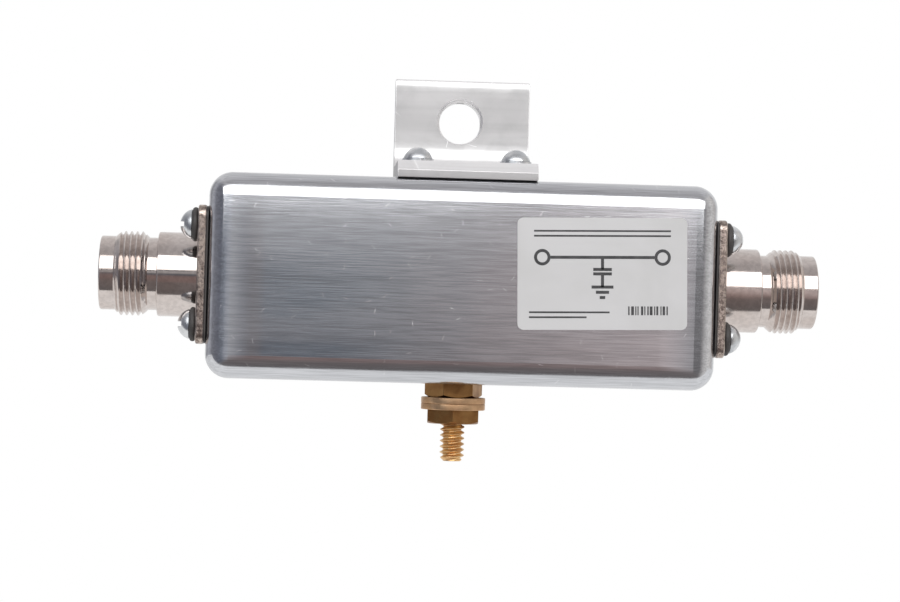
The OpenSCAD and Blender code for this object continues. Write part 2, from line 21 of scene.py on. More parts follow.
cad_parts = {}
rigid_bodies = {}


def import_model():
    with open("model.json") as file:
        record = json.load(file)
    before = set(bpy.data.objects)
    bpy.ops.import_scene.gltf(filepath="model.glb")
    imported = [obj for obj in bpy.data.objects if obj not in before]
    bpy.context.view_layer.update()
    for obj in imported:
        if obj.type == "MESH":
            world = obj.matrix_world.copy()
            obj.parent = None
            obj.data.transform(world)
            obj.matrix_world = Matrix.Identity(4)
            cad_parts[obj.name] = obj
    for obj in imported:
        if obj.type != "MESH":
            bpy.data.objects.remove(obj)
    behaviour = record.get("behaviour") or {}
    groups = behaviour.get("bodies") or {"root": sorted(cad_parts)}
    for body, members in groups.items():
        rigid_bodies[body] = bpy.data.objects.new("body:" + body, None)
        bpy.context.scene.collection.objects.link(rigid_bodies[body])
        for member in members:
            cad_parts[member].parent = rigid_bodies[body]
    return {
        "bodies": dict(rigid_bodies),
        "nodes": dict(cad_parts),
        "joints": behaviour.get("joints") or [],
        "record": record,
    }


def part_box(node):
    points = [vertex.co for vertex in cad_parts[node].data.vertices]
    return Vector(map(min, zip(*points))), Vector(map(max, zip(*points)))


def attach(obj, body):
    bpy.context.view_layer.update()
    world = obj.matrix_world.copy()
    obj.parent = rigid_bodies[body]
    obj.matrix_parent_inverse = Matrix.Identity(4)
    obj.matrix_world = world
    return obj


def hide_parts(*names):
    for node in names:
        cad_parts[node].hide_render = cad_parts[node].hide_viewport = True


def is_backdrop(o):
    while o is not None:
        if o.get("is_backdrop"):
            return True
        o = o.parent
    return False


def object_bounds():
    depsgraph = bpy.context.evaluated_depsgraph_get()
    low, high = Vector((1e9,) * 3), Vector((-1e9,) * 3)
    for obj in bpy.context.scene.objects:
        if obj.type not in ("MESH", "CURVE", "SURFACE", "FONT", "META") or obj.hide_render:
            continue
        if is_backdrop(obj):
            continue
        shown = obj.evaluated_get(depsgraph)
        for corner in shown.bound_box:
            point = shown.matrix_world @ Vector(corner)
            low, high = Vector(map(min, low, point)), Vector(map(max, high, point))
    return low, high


LOG = logging.getLogger("surge_protector")

MM = 0.001
FULL_TURN = 2.0 * math.pi
WELD = 1e-7
CLOSE = 1e-6
PAST = MM
PITCH = 25.4 / 24 * MM
HOLE_SIDES = 32
STRAIGHT = 0.999
SMOOTH_ANGLE = math.radians(32.0)
ROOT_BODY = "box_assembly"
LABEL_INK = "label_ink"
NUMBER = "NodeSocketFloat"
VECTOR = "NodeSocketVector"

Colour = tuple[float, float, float]
Pair = tuple[float, float]
Pairs = tuple[Pair, ...]
Names = tuple[str, ...]
Stops = tuple[tuple[float, Colour], ...]
Mesh = bmesh.types.BMesh
Edge = bmesh.types.BMEdge
Vert = bmesh.types.BMVert
Socket = bpy.types.NodeSocket
Material = bpy.types.Material


class Side(Enum):
    """The end of the box that a jack sits on; the value is the sign of its X."""

    LEFT = -1
    RIGHT = 1


class Grain(Enum):
    """Direction of the lines that brushing left in a metal; the value scales X, Y and Z."""

    NONE = (1.0, 1.0, 1.0)
    ALONG_X = (0.035, 1.0, 1.0)


# Mesh helpers


def sweep(outline: Sequence[Pair], steps: int, rise: float = 0.0) -> Mesh:
    """Turns an outline once round the Z axis.

    Args:
        outline: Stations of radius and height, in order.
        steps: Number of faces round the axis.
        rise: How far the outline climbs on the way, as a thread does.

    Returns:
        The mesh.
    """
    bm = bmesh.new()
    verts = [bm.verts.new((radius, 0.0, height)) for radius, height in outline]
    edges = [bm.edges.new(pair) for pair in zip(verts, verts[1:])]
    if outline[0][0] > 0.0 and not rise:
        edges.append(bm.edges.new((verts[-1], verts[0])))
    bmesh.ops.spin(bm, geom=verts + edges, cent=(0, 0, 0), axis=(0, 0, 1), angle=FULL_TURN,
                   dvec=(0, 0, rise / steps), steps=steps, use_merge=not rise)
    bmesh.ops.remove_doubles(bm, verts=bm.verts, dist=CLOSE if rise else WELD)
    return bm


def lathe(outline: Sequence[Pair], steps: int = 96) -> Mesh:
    """Makes a turned solid from a closed or axis-to-axis outline of radius and height.

    Args:
        outline: The outline's stations, in order.
        steps: Number of faces round the axis.

    Returns:
        A closed mesh with its faces outwards.
    """
    bm = sweep(outline, steps)
    bmesh.ops.recalc_face_normals(bm, faces=bm.faces)
    return bm


def arc(centre: Pair, radius: float, start: float, end: float, steps: int = 5) -> list[Pair]:
    """Stations along a round stretch of an outline.

    Args:
        centre: Centre of the arc.
        radius: Radius of the arc.
        start: First angle in degrees, from the radius axis.
        end: Last angle in degrees.
        steps: Number of straight parts.

    Returns:
        The stations, both ends included.
    """
    angles = [math.radians(start + (end - start) * i / steps) for i in range(steps + 1)]
    return [(centre[0] + radius * math.cos(a), centre[1] + radius * math.sin(a)) for a in angles]


def prism(sides: int, radius: float, low: float, high: float, turn: float = 0.0) -> Mesh:
    """Makes an upright prism.

    Args:
        sides: Number of side faces.
        radius: Radius through the corners.
        low: Height of the lower face.
        high: Height of the upper face.
        turn: Angle of the first corner, in degrees.

    Returns:
        The closed prism.
    """
    bm = bmesh.new()
    bmesh.ops.create_cone(bm, cap_ends=True, segments=sides, radius1=radius, radius2=radius,
                          depth=high - low)
    first = bm.verts[:][0].co
    back = Matrix.Rotation(math.radians(turn) - math.atan2(first.y, first.x), 4, "Z")
    return move(bm, shift(z=(low + high) / 2) @ back)


def block(low: Sequence[float], high: Sequence[float]) -> Mesh:
    """Makes a cuboid.

    Args:
        low: Its lower corner.
        high: Its upper corner.

    Returns:
        The cuboid.
    """
    bm = bmesh.new()
    bmesh.ops.create_cube(bm, size=1.0)
    bmesh.ops.scale(bm, vec=[b - a for a, b in zip(low, high)], verts=bm.verts)
    bmesh.ops.translate(bm, verts=bm.verts, vec=[(a + b) / 2 for a, b in zip(low, high)])
    return bm


def hex_corner(across: float) -> float:
    """Radius through the corners of a six-sided piece, from its width across the flats."""
    return across / 2 / math.cos(math.pi / 6)


def bevel(bm: Mesh, edges: Iterable[Edge], width: float, segments: int = 3) -> None:
    """Rounds edges of a mesh, from a distance on either side of them."""
    bmesh.ops.bevel(bm, geom=list(edges), offset=width, offset_type="OFFSET", segments=segments,
                    profile=0.5, affect="EDGES", material=-1, clamp_overlap=True)


def along(edge: Edge, axis: int) -> bool:
    """Whether an edge runs along an axis, given by its number."""
    return abs((edge.verts[1].co - edge.verts[0].co).normalized()[axis]) > STRAIGHT


def combine(body: Mesh, tools: Iterable[Mesh], operation: str) -> Mesh:
    """Joins, cuts or intersects a closed mesh with others, and uses them up.

    Args:
        body: The mesh to work on.
        tools: The other meshes.
        operation: UNION, DIFFERENCE or INTERSECT.

    Returns:
        The new mesh.
    """
    for tool in tools:
        pair = [as_object(bm, "in_work") for bm in (body, tool)]
        step = pair[0].modifiers.new("step", "BOOLEAN")
        step.operation, step.solver, step.object = operation, "EXACT", pair[1]
        bpy.context.view_layer.update()
        body = bmesh.new()
        body.from_object(pair[0], bpy.context.evaluated_depsgraph_get())
        for mesh in [piece.data for piece in pair]:
            # Its object goes with it.
            bpy.data.meshes.remove(mesh)
    return body


def as_object(bm: Mesh, name: str) -> bpy.types.Object:
    """Turns a mesh in work into an object of the scene, and frees it.

    Args:
        bm: The mesh.
        name: Name of the object.

    Returns:
        The object.
    """
    mesh = bpy.data.meshes.new(name)
    bm.to_mesh(mesh)
    bm.free()
    made = bpy.data.objects.new(name, mesh)
    bpy.context.scene.collection.objects.link(made)
    return made


def gather(parts: Iterable[Mesh]) -> Mesh:
    """Puts meshes together as the loose parts of one, and uses them up.

    Args:
        parts: The meshes.

    Returns:
        The one mesh.
    """
    whole = bmesh.new()
    for part in parts:
        mesh = bpy.data.meshes.new("in_work")
        part.to_mesh(mesh)
        part.free()
        whole.from_mesh(mesh)
        bpy.data.meshes.remove(mesh)
    return whole


def move(bm: Mesh, matrix: Matrix) -> Mesh:
    """Moves and turns a whole mesh, and returns it."""
    bmesh.ops.transform(bm, matrix=matrix, verts=bm.verts)
    return bm


def shift(x: float = 0.0, y: float = 0.0, z: float = 0.0) -> Matrix:
    """A move by a distance along each axis."""
    return Matrix.Translation((x, y, z))


def rotation(degrees: float, axis: str) -> Matrix:
    """A turn about an axis."""
    return Matrix.Rotation(math.radians(degrees), 4, axis)


def set_radius(vert: Vert, radius: float) -> None:
    """Moves a point towards or away from the Z axis, to a radius."""
    vert.co.xy = vert.co.xy.normalized() * radius


def extend(bm: Mesh, height: float, stations: Sequence[Pair]) -> None:
    """Carries an open round end on through further stations, and closes it with a flat face.

    Args:
        bm: The mesh.
        height: Height of its open ring.
        stations: Radius and height of each further ring.
    """
    edges = [e for e in bm.edges if e.is_boundary and all(abs(v.co.z - height) < CLOSE for v in e.verts)]
    for radius, level in stations:
        grown = bmesh.ops.extrude_edge_only(bm, edges=edges)["geom"]
        edges = [g for g in grown if isinstance(g, Edge)]
        for vert in {v for e in edges for v in e.verts}:
            set_radius(vert, radius)
            vert.co.z = level
    bmesh.ops.contextual_create(bm, geom=edges)


@dataclass(frozen=True)
class Thread:
    """A right-hand screw thread with rounded turns and a run-out at both ends, on the Z axis.

    Attributes:
        crest: Outside radius.
        root: Radius at the bottom of the thread.
        sharpness: How narrow the crests are, where 1 gives a plain wave.
        run_out: Radius gained per length at either end.
        easing: Distance over which the turns blend into the run-out.
    """

    crest: float
    root: float
    sharpness: float = 1.0
    steps: int = 96
    stations: int = 10
    run_out: float = 0.8
    easing: float = 0.12 * MM

    def radius(self, turn: float) -> float:
        """Radius at a number of turns past a crest."""
        wave = 0.5 + 0.5 * math.cos(FULL_TURN * turn)
        return self.root + (self.crest - self.root) * wave ** self.sharpness

    def sleeve(self, low: float, high: float, crest_at: float) -> Mesh:
        """Makes the threaded surface between two heights, open at both ends.

        Args:
            low: Height of the lower end.
            high: Height of the upper end.
            crest_at: Height of any crest on the +X side.

        Returns:
            A tube whose two end rings are round, at the root radius.
        """
        start = crest_at - math.ceil((crest_at - low) / PITCH + 1.5) * PITCH
        count = (math.ceil((high - start) / PITCH) + 1) * self.stations
        bm = sweep([(self.radius(i / self.stations), start + i / self.stations * PITCH)
                    for i in range(count + 1)], self.steps, PITCH)
        for height, way in ((low, -1.0), (high, 1.0)):
            bmesh.ops.bisect_plane(bm, geom=bm.verts[:] + bm.edges[:] + bm.faces[:], dist=WELD,
                                   plane_co=(0, 0, height), plane_no=(0, 0, way), clear_outer=True)
        for vert in bm.verts:
            limit = self.root + max(min(vert.co.z - low, high - vert.co.z), 0.0) * self.run_out
            radius = vert.co.xy.length
            meet = max(self.easing - abs(radius - limit), 0.0) ** 2 / (4 * self.easing)
            set_radius(vert, max(min(radius, limit) - meet, self.root))
        return bm


# Node trees


class Graph:
    """Short calls to add and join the nodes of one tree."""

    def __init__(self, tree: bpy.types.NodeTree) -> None:
        """Keeps the tree to build in."""
        self.tree = tree

    def add(self, kind: str, values: dict[Any, Any] | None = None, **settings: Any) -> bpy.types.Node:
        """Adds a node.

        Args:
            kind: Type of the node, without the start that all share.
            values: Value, or socket to join, for each named or numbered input.
            settings: Values for the node's own properties.

        Returns:
            The node.
        """
        node = self.tree.nodes.new("ShaderNode" + kind)
        for name, value in settings.items():
            setattr(node, name, value)
        for name, value in (values or {}).items():
            self.feed(node.inputs[name], value)
        return node

    def feed(self, socket: Socket, value: Any) -> None:
        """Joins a socket to another, or sets its value.

        Args:
            socket: The input.
            value: An output socket, a number, or a vector or colour of three parts.
        """
        if isinstance(value, bpy.types.NodeSocket):
            self.tree.links.new(value, socket)
        elif socket.type == "RGBA":
            socket.default_value = (*value, 1.0)
        else:
            socket.default_value = value

    def maths(self, operation: str, a: Any, b: Any = 0.0, c: Any = 0.0, clamp: bool = False) -> Socket:
        """Works with up to three numbers."""
        return self.add("Math", {0: a, 1: b, 2: c}, operation=operation, use_clamp=clamp).outputs[0]

    def product(self, a: Any, b: Any) -> Socket:
        """Multiplies two numbers."""
        return self.maths("MULTIPLY", a, b)

    def larger(self, a: Any, b: Any) -> Socket:
        """The larger of two numbers."""
        return self.maths("MAXIMUM", a, b)

    def size(self, value: Any) -> Socket:
        """A number without its sign."""
        return self.maths("ABSOLUTE", value)

    def held(self, value: Any, limit: float) -> Socket:
        """A number held between 0 and a limit."""
        return self.maths("MINIMUM", self.larger(value, 0.0), limit)

    def vector(self, operation: str, a: Any, b: Any) -> Socket:
        """Works with two vectors."""
        return self.add("VectorMath", {0: a, 1: b}, operation=operation).outputs[0]

    def axes(self, vector: Socket) -> Sequence[Socket]:
        """Parts of a vector along X, Y and Z."""
        return self.add("SeparateXYZ", {0: vector}).outputs

    def noise(self, place: Socket, scale: Any, detail: float, distortion: float = 0.0) -> Socket:
        """A noise pattern from 0 to 1."""
        values = {"Vector": place, "Scale": scale, "Detail": detail, "Distortion": distortion}
        return self.add("TexNoise", values).outputs[0]

    def blend(self, factor: Any, a: Any, b: Any, mode: str = "MIX") -> Socket:
        """Mixes two colours."""
        return self.add("Mix", {0: factor, 6: a, 7: b}, data_type="RGBA", blend_type=mode).outputs[2]

    def shade(self, colour: Any, level: Any) -> Socket:
        """Darkens a colour by a level from 0 to 1."""
        grey = self.add("CombineColor", {0: level, 1: level, 2: level}).outputs[0]
        return self.blend(1.0, colour, grey, "MULTIPLY")

    def span(self, value: Any, low: Any, high: Any, to_low: Any = 0.0, to_high: Any = 1.0) -> Socket:
        """Maps a range of numbers to another, smoothly."""
        values = {0: value, 1: low, 2: high, 3: to_low, 4: to_high}
        return self.add("MapRange", values, interpolation_type="SMOOTHSTEP").outputs[0]


class Effect:
    """A shader node group that several finishes share, built once."""

    def __init__(self, name: str, inputs: dict[str, Any], outputs: Sequence[str]) -> None:
        """Makes an empty group with its sockets.

        Args:
            name: Name of the group.
            inputs: Name and first value of each input: a number, or a vector or nothing for a vector.
            outputs: Name of each output, all of them numbers.
        """
        self.tree = bpy.data.node_groups.new(name, "ShaderNodeTree")
        for label, value in inputs.items():
            kind = NUMBER if isinstance(value, float) else VECTOR
            made = self.tree.interface.new_socket(label, in_out="INPUT", socket_type=kind)
            if value is not None:
                made.default_value = value
        for label in outputs:
            self.tree.interface.new_socket(label, in_out="OUTPUT", socket_type=NUMBER)
        self.graph = Graph(self.tree)
        self.given = self.tree.nodes.new("NodeGroupInput").outputs[:len(inputs)]

    def give(self, *results: Socket) -> Effect:
        """Joins the results to the group's outputs.

        Args:
            results: The results, in the outputs' order.

        Returns:
            The finished group.
        """
        sink = self.tree.nodes.new("NodeGroupOutput")
        for socket, result in zip(sink.inputs, results):
            self.graph.feed(socket, result)
        return self


class Effects:
    """The shared effects of all finishes."""

    def __init__(self, casing: tuple[Vector, Vector]) -> None:
        """Builds each group.

        Args:
            casing: Corners of the cast box, which the crown of its faces is centred on.
        """
        self.lines = self._lines()
        self.scratches = self._scratches()
        self.patches = self._patches()
        self.crown = self._crown(*casing)
        self.belt = self._belt()
        self.flats = self._flats()

    @staticmethod
    def _lines() -> Effect:
        """Fine parallel lines of two widths, as brushing leaves them; the stretch sets their direction.

        Returns:
            The group.
        """
        effect = Effect("fine_lines", {"Vector": None, "Stretch": (1.0, 1.0, 1.0),
                                       "Lines per metre": 3000.0}, ("Height", "Streaks"))
        graph, (place, stretch, scale) = effect.graph, effect.given
        wider, fine_share, wide_share = 0.22, 0.6, 0.4
        dark, bright = 0.3, 0.7
        place = graph.vector("MULTIPLY", place, stretch)
        fine = graph.noise(place, scale, 2.0)
        wide = graph.noise(place, graph.product(scale, wider), 3.0)
        height = graph.maths("MULTIPLY_ADD", fine, fine_share, graph.product(wide, wide_share))
        return effect.give(height, graph.span(wide, dark, bright))

    @staticmethod
    def _scratches() -> Effect:
        """Short thin bowed scratches that lie at chance angles, one or two in each cell.

        Returns:
            The group.
        """
        effect = Effect("thin_scratches", {"Vector": None, "Cells per metre": 60.0, "Share": 0.3,
                                           "Width": 0.012}, ("Mask",))
        graph, (place, scale, share, width) = effect.graph, effect.given
        cells = graph.add("TexVoronoi", {"Vector": place, "Scale": scale}).outputs
        chance = graph.add("SeparateColor", {0: cells["Color"]}).outputs
        away = graph.vector("SUBTRACT", place, cells["Position"])
        local = graph.add("VectorMath", {0: away, 3: scale}, operation="SCALE").outputs[0]
        angle = graph.product(chance[0], FULL_TURN)
        turned = graph.add("VectorRotate", {0: local, 3: angle}, rotation_type="Y_AXIS").outputs[0]
        length, _, across = graph.axes(turned)
        bend, core, taper_start, tip = 0.35, 0.002, 0.12, 0.4
        bow = graph.maths("MULTIPLY_ADD", graph.maths("POWER", length, 2.0), bend, across)
        thin = graph.span(graph.size(bow), core, width, 1.0, 0.0)
        ends = graph.span(graph.size(length), taper_start, tip, 1.0, 0.0)
        kept = graph.maths("LESS_THAN", chance[1], share)
        return effect.give(graph.product(graph.product(thin, ends), kept))

    @staticmethod
    def _patches() -> Effect:
        """Soft uneven patches with a finer mottling in them, for handling marks and tarnish.

        Returns:
            The group.
        """
        effect = Effect("soft_patches", {"Vector": None, "Patches per metre": 40.0, "Mottling": 0.3},
                        ("Mask",))
        graph, (place, scale, mottling) = effect.graph, effect.given
        ragged, finer = 0.6, 14.0
        clean, aged = 0.35, 0.65
        broad = graph.noise(place, scale, 3.0, ragged)
        fine = graph.noise(place, graph.product(scale, finer), 2.0)
        mottle = graph.product(graph.maths("SUBTRACT", fine, 0.5), mottling)
        return effect.give(graph.maths("ADD", graph.span(broad, clean, aged), mottle, clamp=True))

    @staticmethod
    def _crown(low: Vector, high: Vector) -> Effect:
        """Height of faces that fall away a little towards the edges, with the soft waves of polishing.

        Args:
            low: Lower corner of the box.
            high: Upper corner of the box.

        Returns:
            The group.
        """
        edge_r, rim, side_w, upright_w = 4.3 * MM, 1.6 * MM, 6.5 * MM, 13.0 * MM
        waves_per_metre = 62.0
        effect = Effect("soft_edges", {"Vector": None, "Side slope": 0.114, "Top slope": 0.047,
                                       "Bottom slope": 0.006, "Wave height": 0.00005}, ("Height",))
        graph, (place, side, top, bottom, wave) = effect.graph, effect.given
        local = graph.add("Mapping", {"Vector": place, "Location": -(low + high) / 2}).outputs[0]
        x, _, z = graph.axes(local)
        upper = graph.maths("GREATER_THAN", z, 0.0)
        upright = graph.maths("MULTIPLY_ADD", upper, graph.maths("SUBTRACT", top, bottom), bottom)
        drops = []
        size = high - low
        for part, extent, width, slope in ((x, size.x, side_w, side), (z, size.z, upright_w, upright)):
            past = graph.maths("SUBTRACT", graph.size(part), extent / 2 - edge_r - width)
            near = graph.held(past, width)
            end = graph.held(graph.maths("SUBTRACT", past, width), rim)
            squared = graph.product(graph.product(near, near), 0.5 / width)
            eased = graph.maths("MULTIPLY_ADD", graph.product(end, end), -0.5 / rim, end)
            drops.append(graph.product(graph.maths("ADD", squared, eased), slope))
        waves = graph.product(graph.noise(local, waves_per_metre, 1.0), wave)
        return effect.give(graph.maths("SUBTRACT", waves, graph.maths("ADD", *drops)))

    @staticmethod
    def _flats() -> Effect:
        """Mask of the faces that lie square to the object's axes, apart from rounded edges.

        Returns:
            The group.
        """
        effect = Effect("square_faces", {"Normal": None}, ("Mask",))
        graph = effect.graph
        rounded, square = 0.965, 0.998
        x, y, z = [graph.size(part) for part in graph.axes(effect.given[0])]
        return effect.give(graph.span(graph.larger(graph.larger(x, y), z), rounded, square))

    @staticmethod
    def _belt() -> Effect:
        """Mask of a belt on both ends of the object, at a distance from its middle along X.

        Returns:
            The group.
        """
        effect = Effect("cross_belt", {"Vector": None, "Middle": 0.0477, "Half width": 0.0007}, ("Mask",))
        graph, (place, middle, half) = effect.graph, effect.given
        away = graph.maths("SUBTRACT", graph.size(graph.axes(place)[0]), middle)
        return effect.give(graph.maths("LESS_THAN", graph.size(away), half))


# Finishes


class Surface:
    """A new material with its graph, its shader and the object's coordinates."""

    def __init__(self, name: str, effects: Effects) -> None:
        """Makes the material.

        Args:
            name: Name of the finish.
            effects: The shared effects.
        """
        self.effects = effects
        self.material = bpy.data.materials.new(name + "_finish")
        self.material.use_nodes = True
        self.graph = Graph(self.material.node_tree)
        self.shader = self.material.node_tree.nodes["Principled BSDF"].inputs
        coordinates = self.graph.add("TexCoord").outputs
        self.place, self.facing = coordinates["Object"], coordinates["Normal"]

    def use(self, effect: Effect, *values: Any, at: Socket | None = None) -> Sequence[Socket]:
        """Places a shared effect in the material.

        Args:
            effect: The effect.
            values: Values of its inputs after the first, in their order.
            at: What its first input reads, where that isn't the object's place.

        Returns:
            The effect's outputs.
        """
        inputs = dict(enumerate((at or self.place, *values)))
        return self.graph.add("Group", inputs, node_tree=effect.tree).outputs

    def finish(self, colour: Any, roughness: Any, height: Any, **others: Any) -> Material:
        """Joins the results to the shader.

        Args:
            colour: Base colour.
            roughness: Roughness.
            height: Height of the surface in metres.
            others: Values or sockets for further inputs, with _ for a space in their names.

        Returns:
            The material.
        """
        bump = self.graph.add("Bump", {"Height": height, "Strength": 1.0, "Distance": 1.0}).outputs[0]
        values = {"Base_Color": colour, "Roughness": roughness, "Normal": bump, **others}
        for name, value in values.items():
            self.graph.feed(self.shader[name.replace("_", " ")], value)
        return self.material


@dataclass(frozen=True)
class Finish:
    """What every finish has.

    Attributes:
        slot: Material slot of the record.
        aged: Colour of its dull, handled or tarnished patches.
        roughness: Roughness where it is clean, and in the patches.
        patch_scale: Patches per metre.
    """

    slot: str
    clean: Colour
    aged: Colour
    roughness: Pair = (0.2, 0.35)
    patch_scale: float = 60.0
    mottling: float = 0.3

    def wear(self, surface: Surface, at: Socket | None = None) -> tuple[Socket, Socket]:
        """Spreads the patches over a surface.

        Args:
            surface: The new material.
            at: Coordinates of the patches, where they aren't the object's own.

        Returns:
            The colour and the roughness.
        """
        graph = surface.graph
        patches = surface.use(surface.effects.patches, self.patch_scale, self.mottling, at=at)[0]
        return graph.blend(patches, self.clean, self.aged), graph.span(patches, 0.0, 1.0, *self.roughness)


@dataclass(frozen=True)
class SawnBelt:
    """The sawn edge of a plated flange: a belt across X with a coarse, darker grain.

    Attributes:
        middle: Distance of the belt's middle from the object's, along X.
        half: Half of its width.
        grains: Grains per metre.
        speckle: Heights of the noise between which a grain rises.
    """

    middle: float = 47.7 * MM
    half: float = 0.72 * MM
    dark: Colour = (0.16, 0.12, 0.105)
    light: Colour = (0.62, 0.535, 0.475)
    grains: float = 7000.0
    depth: float = 8e-6
    speckle: Pair = (0.38, 0.62)
    extra_roughness: float = 0.12


@dataclass(frozen=True)
class MetalFinish(Finish):
    """A metal surface with its lines, grain, scratches and tarnish, and painted shade on its flat faces
    where flats is below 1.

    Attributes:
        line_scale: Lines per metre.
        scratches: Places per metre for a scratch, and share of them with one.
        scratch_strength: How much a scratch brightens, and what it adds to the roughness.
        flats: Level, from 0 to 1, of painted shade on the flat faces, which leaves the rounded edges lighter
            as a painted sheen.
    """

    line_scale: float = 2500.0
    line_depth: float = 4e-6
    line_level: float = 0.88
    grain: Grain = Grain.NONE
    scratches: Pair | None = None
    scratch_strength: Pair = (0.75, 0.3)
    belt: SawnBelt | None = None
    flats: float = 1.0
    edge_roughness: float = 0.45

    def build(self, effects: Effects) -> Material:
        """Makes the material.

        Args:
            effects: The shared effects.

        Returns:
            The material, named after its slot.
        """
        surface = Surface(self.slot, effects)
        graph = surface.graph
        colour, roughness = self.wear(surface)
        lines, streaks = surface.use(effects.lines, self.grain.value, self.line_scale)
        colour = graph.shade(colour, graph.span(streaks, 0.0, 1.0, self.line_level, 1.0))
        height = graph.product(lines, self.line_depth)
        # Painted shade: flat faces are darkened to the flats level, so the rounded edges stay lighter as a
        # painted sheen.
        if self.flats < 1.0:
            flat = surface.use(effects.flats, at=surface.facing)[0]
            colour = graph.shade(colour, graph.span(flat, 0.0, 1.0, 1.0, self.flats))
            roughness = graph.span(flat, 0.0, 1.0, self.edge_roughness, roughness)
        if self.scratches:
            marks = surface.use(effects.scratches, *self.scratches)[0]
            gain, lift = 1.5, 0.12
            bright = tuple(min(1.0, part * gain + lift) for part in self.clean)
            brightening, roughening = self.scratch_strength
            colour = graph.blend(graph.product(marks, brightening), colour, bright)
            roughness = graph.maths("MULTIPLY_ADD", marks, roughening, roughness)
        if self.belt:
            mask = surface.use(effects.belt, self.belt.middle, self.belt.half)[0]
            grains = surface.use(effects.lines, Grain.NONE.value, self.belt.grains)[0]
            speckle = graph.span(grains, *self.belt.speckle)
            colour = graph.blend(mask, colour, graph.blend(speckle, self.belt.dark, self.belt.light))
            roughness = graph.maths("MULTIPLY_ADD", mask, self.belt.extra_roughness, roughness)
            grit = graph.product(graph.product(speckle, mask), self.belt.depth)
            height = graph.maths("ADD", height, grit)
        return surface.finish(colour, roughness, height, Metallic=1.0)


@dataclass(frozen=True)
class CasingFinish(Finish):
    """The cast box's skin: fine brushing along X, a soft crown towards its edges, and scratches.

    Attributes:
        stretch: Scale of the dull patches along X, Y and Z, which draws them out.
        spread: How much more the lines spread a reflection across them than along them.
        line_level: Level of the darkest lines.
        line_span: Heights of a line from its darkest to its brightest.
        scratches: Places per metre, share with a scratch and width of each kind of scratch.
    """

    roughness: Pair = (0.125, 0.16)
    patch_scale: float = 90.0
    mottling: float = 0.25
    stretch: Colour = (0.25, 1.0, 1.0)
    spread: float = 0.6
    line_scale: float = 4200.0
    line_depth: float = 11e-6
    line_level: float = 0.8
    line_span: Pair = (0.36, 0.62)
    scratches: tuple[tuple[float, float, float], ...] = ((95.0, 0.05, 0.009), (520.0, 0.09, 0.05))
    scratch_strength: Pair = (0.35, 0.12)
    scratch_colour: Colour = (0.95, 0.95, 0.96)

    def build(self, effects: Effects) -> Material:
        """Makes the material.

        Args:
            effects: The shared effects.

        Returns:
            The material, named after its slot.
        """
        surface = Surface(self.slot, effects)
        graph = surface.graph
        colour, roughness = self.wear(surface, graph.vector("MULTIPLY", surface.place, self.stretch))
        lines = surface.use(effects.lines, Grain.ALONG_X.value, self.line_scale)[0]
        colour = graph.shade(colour, graph.span(lines, *self.line_span, self.line_level, 1.0))
        brightening, roughening = self.scratch_strength
        for kind in self.scratches:
            marks = surface.use(effects.scratches, *kind)[0]
            colour = graph.blend(graph.product(marks, brightening), colour, self.scratch_colour)
            roughness = graph.maths("MULTIPLY_ADD", marks, roughening, roughness)
        height = graph.maths("MULTIPLY_ADD", lines, self.line_depth, surface.use(effects.crown)[0])
        across = graph.add("Tangent", direction_type="RADIAL", axis="X").outputs[0]
        return surface.finish(colour, roughness, height, Metallic=1.0, Tangent=across,
                              Anisotropic=self.spread)


@dataclass(frozen=True)
class PlainFinish(Finish):
    """A surface that isn't metal, with its mottling and a fine skin.

    Attributes:
        skin_scale: Bumps of the skin per metre.
    """

    patch_scale: float = 80.0
    mottling: float = 0.2
    skin_scale: float = 4000.0
    skin_depth: float = 5e-6
    coat: float = 0.0

    def build(self, effects: Effects) -> Material:
        """Makes the material.

        Args:
            effects: The shared effects.

        Returns:
            The material, named after its slot.
        """
        surface = Surface(self.slot, effects)
        skin = surface.use(effects.lines, Grain.NONE.value, self.skin_scale)[0]
        height = surface.graph.product(skin, self.skin_depth)
        return surface.finish(*self.wear(surface), height, Coat_Weight=self.coat)


